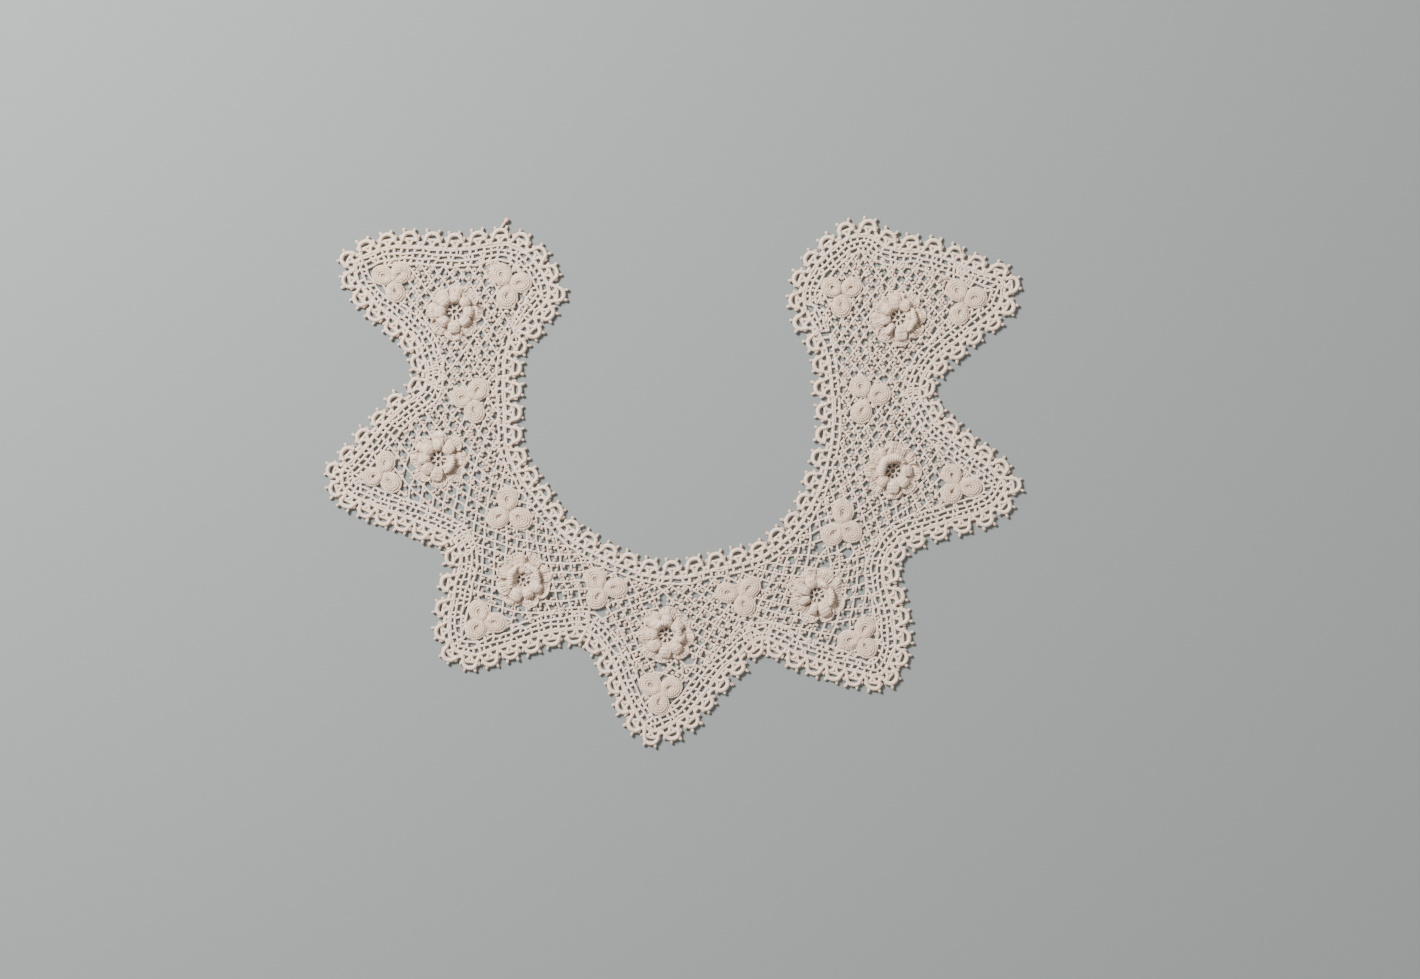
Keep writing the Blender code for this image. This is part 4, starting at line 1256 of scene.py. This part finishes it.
def puff_grid(rose, heading, puff, ribs, rows, random):
    """Points of one inner petal: a puff of stitches, round from above and domed."""
    columns = 3 * ribs + 1
    heading += random.normal(0.0, PETAL_LEAN)
    way = np.array((math.cos(heading), math.sin(heading)))
    across = np.array((-way[1], way[0]))
    start, end = rose.opening + puff.start, puff.end * random.uniform(*END_SPREAD)
    middle, half = (start + end) / 2, (end - start) / 2
    top, under, marks = [], [], []
    crumple = crumpled(rows, columns, random)
    for u in np.sin(np.linspace(-1.0, 1.0, rows + 1) * math.pi / 2):
        for v in np.sin(np.linspace(-1.0, 1.0, columns) * math.pi / 2):
            narrowing = 1 - abs(u) ** ROUNDNESS
            spread = puff.half * max(narrowing, 0.01) ** (1 / ROUNDNESS)
            dome = (narrowing * (1 - abs(v) ** ROUNDNESS)) ** 0.5
            place = rose_centre(rose) + (way * (middle + half * u) + across * spread * v) * MM
            relief = RIB_RELIEF * math.cos(math.pi * ribs * v) + crumple[len(top)]
            top.append((*place, PUFF_BASE + puff.height * MM * dome + relief * dome))
            under.append((*place, PUFF_BASE - PUFF_DEPTH))
            # Painted shade round the puff's edge
            crease = max(abs(u), abs(v)) ** PUFF_CREASE
            marks.append(((ribs * v + 1) / 4, half * u, crease))
    return np.array(top), np.array(under), marks, columns


def sheet_faces(columns, rows, offset):
    """Faces of a closed shell: a grid on top, one under it and a wall round them."""
    faces = []
    last = columns * (rows + 1)
    for r in range(rows):
        for c in range(columns - 1):
            a = r * columns + c
            faces.append((a, a + 1, a + columns + 1, a + columns))
            faces.append((last + a + columns, last + a + columns + 1, last + a + 1, last + a))
    rim = list(range(columns)) + [columns * (r + 1) - 1 for r in range(1, rows + 1)]
    rim += list(range(columns * (rows + 1) - 2, columns * rows - 1, -1))
    rim += [columns * r for r in range(rows - 1, 0, -1)]
    for a, b in zip(rim, rim[1:] + rim[:1]):
        faces.append((b, a, last + a, last + b))
    return [tuple(offset + i for i in face) for face in faces]


def rose_round(rose, name, grid, shapes, ribs, rows, random):
    """A round of petals as one closed-shell mesh, and the cord along each flat petal's edge."""
    points, faces, uvs, cords = [], [], [], []
    for number, shape in enumerate(shapes):
        heading = math.radians(rose.turn) + 2 * math.pi * number / PETALS
        top, under, marks, columns = grid(rose, heading, shape, ribs, rows, random)
        faces += sheet_faces(columns, rows, len(points))
        points += [tuple(p) for p in top] + [tuple(p) for p in under]
        uvs += marks + marks
        if grid is petal_grid:
            edge = soften(top[-columns:], 1.2) - (0.0, 0.0, EDGE_DROP)
            cords.append(Cord(edge, random.uniform(*EDGE_WIDTHS)))
    mesh = bpy.data.meshes.new(name)
    mesh.from_pydata(points, [], faces)
    for layer, column, scale in (("along", 1, 1 / PETAL_STITCH), ("around", 0, 1.0),
                                 ("crease", 2, 1.0)):
        values = mesh.attributes.new(layer, "FLOAT", "POINT")
        values.data.foreach_set("value", np.array(uvs)[:, column] * scale)
    mesh.polygons.foreach_set("use_smooth", np.ones(len(mesh.polygons), bool))
    return mesh, cords


def wheel_cords(rose, random):
    """The open middle: a hub ring, eight spokes and the ring the petals are worked on."""
    centre = rose_centre(rose)
    rim = rose.opening + RIM_OUT
    cords = [Cord(circle_path(centre, HUB * MM, HUB_LIE), 0.95),
             Cord(circle_path(centre, rim * MM, RIM_LIE, 40), 1.1),
             Cord(circle_path(centre, (rim + UPPER_RIM_OUT) * MM, UPPER_RIM_LIE, 40), 1.15)]
    for number in range(PETALS):
        angle = math.radians(rose.turn) + 2 * math.pi * (number + 0.5) / PETALS
        bend = random.normal(0.0, SPOKE_BEND)
        reaches = np.linspace(SPOKE_START, rim, len(SPOKE_HEIGHTS))
        path = [(*(centre + r * MM * np.array((math.cos(angle + bend * k),
                                               math.sin(angle + bend * k)))), z * MM)
                for k, (r, z) in enumerate(zip(reaches, SPOKE_HEIGHTS))]
        cords.append(Cord(smooth_path(path, 2), random.uniform(*SPOKE_WIDTHS)))
    return cords


def roll_cords(rose, random):
    """Petal edges rolled over the inner petals, thickest in the middle."""
    cords = []
    for roll in rose.rolls:
        share = np.linspace(0.0, 1.0, 25)
        angles = np.radians(roll.first + (roll.last - roll.first) * share)
        long = abs(roll.last - roll.first) > LONG_ROLL
        lobes = ROLL_LOBE * np.sin(share * math.pi * ROLL_LOBES) * long
        reach = (roll.inner + (roll.outer - roll.inner) * share + lobes) * MM
        middle = rose_centre(rose)
        width = roll.width * np.clip(np.sin(math.pi * share), 0.0, 1.0) ** 0.4
        width = np.maximum(width, ROLL_END * roll.width)
        path = np.column_stack((middle[0] + reach * np.cos(angles),
                                middle[1] + reach * np.sin(angles),
                                (ROLL_LIE + ROLL_RISE * width) * MM))
        cords.append(Cord(path, width * random.uniform(0.97, 1.03)))
    return cords


# ---------------------------------------------------------------- shamrocks

# A leaf's rows of stitches: how far apart they are, how wide their cord is against the motifs'
# thread and how it swells and is flattened, how often a leaf is drawn closed, the smallest row in
# a closed leaf and in an open one, how far the rows are drawn to the stem and to a point there,
# and the spreads of the leaf's length, its width and the cord's width
RING_STEP = 0.86 * MM
RING_THREAD, RING_SWELL, RING_FLATNESS = 1.36, 0.16, 0.72
CLOSED_CHANCE, CLOSED_RING, OPEN_RING = 0.65, 0.25 * MM, 0.7 * MM
RING_PULL, RING_POINT, RING_UNEVEN = 0.28, 0.14, 0.02
LEAF_LENGTHS, LEAF_WIDTHS, RING_WIDTHS = (1.0, 1.08), (0.96, 1.04), (0.97, 1.05)
# The knot where the three leaves meet
KNOT_RADIUS = 1.8 * MM
# The dome under a leaf: its rings as shares of the leaf's radius, how far it lies under the
# stitches at the crown and elsewhere, and its base's height
DOME_SIDES, DOME_RINGS = 20, (0.2, 0.4, 0.62, 0.96)
CROWN_UNDER, DOME_UNDER, DOME_BASE = 0.1 * MM, 0.15 * MM, 0.05 * MM


# The dip lies below LOW_REACH, so the material paints it with shade and the leaf's middle looks
# dark
# A leaf's height in millimetres, at shares of its radius: a dip in the middle, a crown, a low rim
LEAF_SHARES, LEAF_HEIGHTS = (0.0, 0.2, 0.35, 0.62, 1.0), (0.6, 0.95, 1.5, 1.6, 0.8)


def coil_height(share):
    """Height of a leaf's stitches at a share of its radius."""
    return np.interp(share, LEAF_SHARES, LEAF_HEIGHTS) * MM


def leaf_rings(centre, stem, radius, random):
    """Rows of stitches, each inside the one before and all drawn together at the stem."""
    away = (centre - stem) / np.linalg.norm(centre - stem)
    side = np.array((-away[1], away[0]))
    length, width = random.uniform(*LEAF_LENGTHS), random.uniform(*LEAF_WIDTHS)
    smallest = CLOSED_RING if random.uniform() < CLOSED_CHANCE else OPEN_RING
    rings = []
    for reach in np.arange(radius - 0.5 * MM, smallest, -RING_STEP):
        slit = 1 - reach / radius
        angles = math.pi + np.linspace(0.0, 2 * math.pi, 37)
        point = 1 + RING_POINT * np.clip(-np.cos(angles), 0.0, 1.0) ** 4
        spread = reach * point * (1 + random.normal(0.0, RING_UNEVEN, len(angles)))
        middle = centre - away * RING_PULL * (radius - reach)
        flat = (middle + np.outer(spread * np.cos(angles) * length * (1 + 0.2 * slit), away)
                + np.outer(spread * np.sin(angles) * width * (1 - 0.1 * slit), side))
        rings.append(Cord(lift(flat, coil_height(reach / radius)),
                          random.uniform(*RING_WIDTHS)))
    return rings


def coil_backing(centre, radius):
    """A low dome that closes the coil under its stitches."""
    sides, rings = DOME_SIDES, DOME_RINGS
    points = [(*centre, DOME_BASE), (*centre, coil_height(0) - CROWN_UNDER)]
    faces = []
    for level, share in enumerate((*rings, rings[-1])):
        height = coil_height(share) - DOME_UNDER if level < len(rings) else DOME_BASE
        for i in range(sides):
            angle = 2 * math.pi * i / sides
            points.append((centre[0] + share * radius * math.cos(angle),
                           centre[1] + share * radius * math.sin(angle), float(height)))
    for i in range(sides):
        j = (i + 1) % sides
        faces.append((1, 2 + i, 2 + j))
        for level in range(len(rings)):
            a, b = 2 + level * sides, 2 + (level + 1) * sides
            faces.append((a + i, b + i, b + j, a + j))
        base = 2 + len(rings) * sides
        faces.append((0, base + j, base + i))
    return points, faces


def shells_mesh(name, shells):
    """Several closed shells as one mesh."""
    points, faces = [], []
    for shell_points, shell_faces in shells:
        faces += [tuple(len(points) + i for i in face) for face in shell_faces]
        points += [tuple(map(float, point)) for point in shell_points]
    mesh = bpy.data.meshes.new(name)
    mesh.from_pydata(points, [], faces)
    mesh.polygons.foreach_set("use_smooth", np.ones(len(mesh.polygons), bool))
    return mesh


# ---------------------------------------------------------------- settings

class LaceSettings(bpy.types.PropertyGroup):
    """Sizes and colours of the cotton."""

    net_thread: FloatProperty(
        name="Net thread", description="Width of the cords of the net", default=1.05 * MM,
        min=0.3 * MM, max=3 * MM, precision=5, unit="LENGTH")
    border_thread: FloatProperty(
        name="Border thread", description="Width of the cords of the plain rounds",
        default=1.2 * MM, min=0.3 * MM, max=3 * MM, precision=5, unit="LENGTH")
    edging_thread: FloatProperty(
        name="Edging thread", description="Width of the cords of the scallops",
        default=1.3 * MM, min=0.3 * MM, max=3 * MM, precision=5, unit="LENGTH")
    motif_thread: FloatProperty(
        name="Motif thread", description="Width of the cords of the roses and shamrocks",
        default=0.95 * MM, min=0.3 * MM, max=3 * MM, precision=5, unit="LENGTH")
    stitch: FloatProperty(
        name="Stitch", description="Length of one stitch", default=0.9 * MM, min=0.3 * MM,
        max=5 * MM, precision=5, unit="LENGTH")
    cord_sides: IntProperty(
        name="Cord sides", description="Sides of each cord's section", default=6, min=4, max=16)
    net_colour: FloatVectorProperty(
        name="Net colour", description="Colour of the net, the borders and the edging",
        subtype="COLOR", size=3, min=0, max=1, default=(0.68, 0.54, 0.435))
    motif_colour: FloatVectorProperty(
        name="Motif colour", description="Colour of the roses and shamrocks",
        subtype="COLOR", size=3, min=0, max=1, default=(0.71, 0.54, 0.40))
    # Also the colour that the painted shade between and beside the stitches darkens towards
    aged_and_shade_colour: FloatVectorProperty(
        name="Aged colour", description="Colour of the thread where it has yellowed",
        subtype="COLOR", size=3, min=0, max=1, default=(0.34, 0.23, 0.16))
    floor_colour: FloatVectorProperty(
        name="Floor colour", description="Colour of the plain floor", subtype="COLOR", size=3,
        min=0, max=1, default=(0.165, 0.18, 0.172))


# The swell of each piece's chains, and the length of their stitches where it isn't the usual one
NET_SWELL = 0.07
BORDER_SWELL, BORDER_STITCH = 0.08, 1.15
EDGING_SWELL, EDGING_STITCH = 0.12, 0.85
MOTIF_SWELL = 0.12
# How much darker than the rest each cotton's older areas are
NET_AGE, BORDER_AGE, SHAMROCK_AGE = 0.93, 0.94, 0.95
# The relief and the tufts of the motifs' close stitches
ROSE_RELIEF, SHAMROCK_RELIEF, MOTIF_TUFTING = 0.45 * MM, 0.4 * MM, 0.5


def chain_values(settings, thread, material, swell, stitch=1.0, steps=2, flatness=0.9):
    """The values of the chain tree's inputs."""
    return {"Thread width": thread, "Stitch": settings.stitch * stitch,
            "Steps per stitch": steps, "Swell": swell, "Sides": settings.cord_sides,
            "Flatness": flatness, "Material": material}


def darker(colour, share):
    """A colour darkened to a share of itself."""
    return [share * part for part in colour]


def trees():
    """The two Geometry Nodes trees, made once."""
    chain = bpy.data.node_groups.get("crochet_chain") or crochet_chain_tree()
    picots = bpy.data.node_groups.get("picots") or picot_tree()
    return chain, picots


def keep_piece(piece, slot, *nodes):
    """Set a piece on the collar's body and over the solids that it takes the place of."""
    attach(piece, "root")
    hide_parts(*nodes)


# ---------------------------------------------------------------- operators

class LACE_OT_net(bpy.types.Operator):
    """Work the picot net between the motifs"""
    bl_idname = "lace.net"
    bl_label = "Net"

    def execute(self, context):
        settings = context.scene.lace_settings
        chain, picots = trees()
        material = cotton_material("net_cotton_worked", settings.net_colour,
                                   darker(settings.net_colour, NET_AGE), settings.aged_and_shade_colour)
        net = Net(Foundation())
        for name, side in (("picot_net_left", -1), ("picot_net_right", 1)):
            cords = [cord for cord in net.cords if side * cord.points[0][0] > 0]
            knots = [picot for picot in net.picots if side * picot.point[0] > 0]
            meshes = [
                cords_mesh(name, cords, chain,
                           chain_values(settings, settings.net_thread, material, NET_SWELL)),
                picots_mesh(name + "_picots", knots, picots, {"Material": material})]
            piece = join_piece(name, meshes, material)
            keep_piece(piece, "net_cotton", "ground_net")
            self.declare(piece, net.loop, side)
        return {"FINISHED"}

    def declare(self, piece, loop, side):
        """Works out one half of the net's loop: its area, its width and length, and the pieces
        that lie over it; the values are not kept.
        """
        half = loop[side * loop[:, 0] > 0]
        (x, y), (x2, y2) = half.T, np.roll(half, -1, axis=0).T
        area = abs((x * y2 - x2 * y).sum()) / 2
        width, length = np.ptp(half, axis=0)
        carried = [item.name for item in bpy.data.objects
                   if item.type == "MESH" and item.name.endswith(("_worked", "_rounds"))
                   and side * sum(corner[0] for corner in item.bound_box) > 0]


class LACE_OT_borders(bpy.types.Operator):
    """Work the plain rounds of small cells on the outer side and the neck side"""
    bl_idname = "lace.borders"
    bl_label = "Borders"

    def execute(self, context):
        settings = context.scene.lace_settings
        chain, _ = trees()
        material = cotton_material("border_cotton_worked", settings.net_colour,
                                   darker(settings.net_colour, BORDER_AGE),
                                   settings.aged_and_shade_colour)
        line = Foundation()
        neck_start = line.scallop_places(0)[0]
        neck_end = line.scallop_places(NECK_STRETCHES)[0]
        outer_end = line.scallop_places(len(STRETCHES) - 1)[-1]
        inner_start, inner_end = neck_start + NARROWING, neck_end - NARROWING
        bands = (
            ("neck_rounds", "border_band_neck",
             cell_rounds(line, neck_start, inner_start, OUTER_SHARES, OUTER_PITCH, SEED + 1)
             + cell_rounds(line, inner_start, inner_end, NECK_SHARES, NECK_PITCH, SEED)
             + cell_rounds(line, inner_end, neck_end, OUTER_SHARES, OUTER_PITCH, SEED + 2)),
            ("outer_rounds", "border_band_outer",
             cell_rounds(line, neck_end, outer_end, OUTER_SHARES, OUTER_PITCH, SEED)),
        )
        for name, node, cords in bands:
            mesh = cords_mesh(name, cords, chain,
                              chain_values(settings, settings.border_thread, material,
                                           BORDER_SWELL, BORDER_STITCH))
            piece = join_piece(name, [mesh], material)
            keep_piece(piece, "net_cotton", node)
        return {"FINISHED"}


class LACE_OT_edging(bpy.types.Operator):
    """Work the scallops with their picots"""
    bl_idname = "lace.edging"
    bl_label = "Edging"

    def execute(self, context):
        settings = context.scene.lace_settings
        chain, picots = trees()
        material = cotton_material("edging_cotton_worked", settings.net_colour,
                                   settings.motif_colour, settings.aged_and_shade_colour)
        line = Foundation()
        groups = {
            "edging_neck_worked": range(NECK_STRETCHES),
            "edging_right_worked": range(NECK_STRETCHES, FIRST_LEFT),
            "edging_left_worked": range(FIRST_LEFT, len(STRETCHES)),
        }
        for name, numbers in groups.items():
            edging = Edging(line, numbers, SEED + numbers[0])
            meshes = [
                cords_mesh(name, edging.cords, chain,
                           chain_values(settings, settings.edging_thread, material,
                                        EDGING_SWELL, EDGING_STITCH)),
                picots_mesh(name + "_picots", edging.picots, picots, {"Material": material})]
            piece = join_piece(name, meshes, material)
            keep_piece(piece, "edging_cotton",
                       *("edging_" + STRETCHES[number].name for number in numbers))
        return {"FINISHED"}


class LACE_OT_roses(bpy.types.Operator):
    """Work the seven roses: two rounds of petals and an open wheel each"""
    bl_idname = "lace.roses"
    bl_label = "Roses"

    def execute(self, context):
        settings = context.scene.lace_settings
        chain, _ = trees()
        material = cotton_material("rose_cotton_worked", settings.motif_colour,
                                   settings.net_colour, settings.aged_and_shade_colour, ROSE_RELIEF,
                                   MOTIF_TUFTING)
        for index, rose in enumerate(ROSES):
            random = np.random.default_rng(SEED + index)
            values = chain_values(settings, settings.motif_thread, material, MOTIF_SWELL)
            rounds = (("petals", petal_grid, [OUTER_PETAL] * PETALS, PETAL_RIBS, PETAL_ROWS, ()),
                      ("heart", puff_grid, [PUFFS[kind] for kind in rose.inner], PUFF_RIBS,
                       PUFF_ROWS, roll_cords(rose, random)))
            for part, grid, shapes, ribs, rows, rolls in rounds:
                name = f"{rose.name}_{part}_worked"
                mesh, cords = rose_round(rose, name, grid, shapes, ribs, rows, random)
                meshes = [mesh]
                if cords:
                    meshes.append(cords_mesh(name + "_edge", cords, chain, values))
                if rolls:
                    meshes.append(cords_mesh(name + "_rolls", rolls, chain,
                                             {**values, **ROLL_CHAIN}))
                piece = join_piece(name, meshes, material)
                keep_piece(piece, "rose_cotton", f"{rose.name}_{part}")
            name = rose.name + "_wheel_worked"
            wheel = cords_mesh(name, wheel_cords(rose, random), chain, values)
            piece = join_piece(name, [wheel], material)
            keep_piece(piece, "rose_cotton", rose.name + "_wheel")
        return {"FINISHED"}


class LACE_OT_shamrocks(bpy.types.Operator):
    """Work the fifteen shamrocks of three coils each"""
    bl_idname = "lace.shamrocks"
    bl_label = "Shamrocks"

    def execute(self, context):
        settings = context.scene.lace_settings
        chain, _ = trees()
        material = cotton_material("shamrock_cotton_worked", settings.motif_colour,
                                   darker(settings.motif_colour, SHAMROCK_AGE),
                                   settings.aged_and_shade_colour, SHAMROCK_RELIEF, MOTIF_TUFTING)
        for index, shamrock in enumerate(SHAMROCKS):
            random = np.random.default_rng(SEED + 100 + index)
            radius = shamrock.radius * MM
            centres = coil_centres(shamrock)
            middle = sum(centres) / len(centres)
            shells = [coil_backing(centre, radius) for centre in centres]
            shells.append(coil_backing(middle, KNOT_RADIUS))
            cords = []
            for centre in centres:
                cords += leaf_rings(centre, middle, radius, random)
            name = shamrock.name + "_worked"
            meshes = [shells_mesh(name, shells),
                      cords_mesh(name + "_rings", cords, chain,
                                 chain_values(settings, RING_THREAD * settings.motif_thread,
                                              material, RING_SWELL, flatness=RING_FLATNESS))]
            piece = join_piece(name, meshes, material)
            keep_piece(piece, "shamrock_cotton", shamrock.name)
        return {"FINISHED"}


class LACE_OT_stage(bpy.types.Operator):
    """Lay the plain floor and set the lights and the camera"""
    bl_idname = "lace.stage"
    bl_label = "Stage"

    CAMERA_PLACE = (16.275 * MM, -3.016 * MM)
    FRAME_WIDTH = 639.0 * MM
    LENS, SENSOR = 50.0, 36.0
    FLOOR_HALF, FLOOR_ROUGHNESS = 20.0, 0.9
    STUDIO_COLOUR, STUDIO_STRENGTH = (1.0, 0.99, 0.97, 1.0), 0.38
    # name, place, size and power; both aim at the collar
    LIGHTS = (
        ("key_light", (-0.95, 0.9, 0.98), 0.38, 102.0),
        ("fill_light", (0.95, -0.45, 1.25), 1.2, 7.0),
    )

    def execute(self, context):
        settings = context.scene.lace_settings
        self.lay_floor(settings.floor_colour)
        for name, place, size, power in self.LIGHTS:
            lamp = bpy.data.lights.new(name, "AREA")
            lamp.size, lamp.energy = size, power
            light = bpy.data.objects.new(name, lamp)
            context.scene.collection.objects.link(light)
            light.location = place
            light.rotation_euler = (-Vector(place)).to_track_quat("-Z", "Y").to_euler()
        world = bpy.data.worlds.new("studio")
        world.use_nodes = True
        background = world.node_tree.nodes["Background"]
        background.inputs["Color"].default_value = self.STUDIO_COLOUR
        background.inputs["Strength"].default_value = self.STUDIO_STRENGTH
        context.scene.world = world
        camera_data = bpy.data.cameras.new("camera")
        camera_data.lens, camera_data.sensor_width = self.LENS, self.SENSOR
        camera = bpy.data.objects.new("camera", camera_data)
        context.scene.collection.objects.link(camera)
        camera.location = (*self.CAMERA_PLACE, self.FRAME_WIDTH * self.LENS / self.SENSOR)
        context.scene.camera = camera
        return {"FINISHED"}

    def lay_floor(self, colour):
        half = self.FLOOR_HALF
        mesh = bpy.data.meshes.new("floor")
        mesh.from_pydata([(-half, -half, 0.0), (half, -half, 0.0), (half, half, 0.0),
                          (-half, half, 0.0)], [], [(0, 1, 2, 3)])
        floor = bpy.data.objects.new("floor", mesh)
        bpy.context.scene.collection.objects.link(floor)
        material = bpy.data.materials.new("plain_floor")
        material.use_nodes = True
        graph = Graph(material.node_tree)
        shader = graph.add("ShaderNodeBsdfPrincipled", None, Base_Color=(*colour, 1.0),
                           Roughness=self.FLOOR_ROUGHNESS)
        graph.add("ShaderNodeOutputMaterial", None, shader)
        mesh.materials.append(material)


class LACE_PT_collar(bpy.types.Panel):
    """The lace collar's pieces and settings"""
    bl_idname = "LACE_PT_collar"
    bl_label = "Lace collar"
    bl_space_type = "VIEW_3D"
    bl_region_type = "UI"
    bl_category = "Lace"

    def draw(self, context):
        for operator in OPERATORS:
            self.layout.operator(operator.bl_idname)
        settings = context.scene.lace_settings
        for name in LaceSettings.__annotations__:
            self.layout.prop(settings, name)


OPERATORS = (LACE_OT_roses, LACE_OT_shamrocks, LACE_OT_borders, LACE_OT_edging, LACE_OT_net,
             LACE_OT_stage)


def register():
    for item in (LaceSettings, *OPERATORS, LACE_PT_collar):
        bpy.utils.register_class(item)
    bpy.types.Scene.lace_settings = PointerProperty(type=LaceSettings)


def unregister():
    del bpy.types.Scene.lace_settings
    for item in (LACE_PT_collar, *reversed(OPERATORS), LaceSettings):
        bpy.utils.unregister_class(item)


def main():
    register()
    bpy.ops.lace.roses()
    bpy.ops.lace.shamrocks()
    bpy.ops.lace.borders()
    bpy.ops.lace.edging()
    bpy.ops.lace.net()
    bpy.ops.lace.stage()


if __name__ == "__main__":
    main()
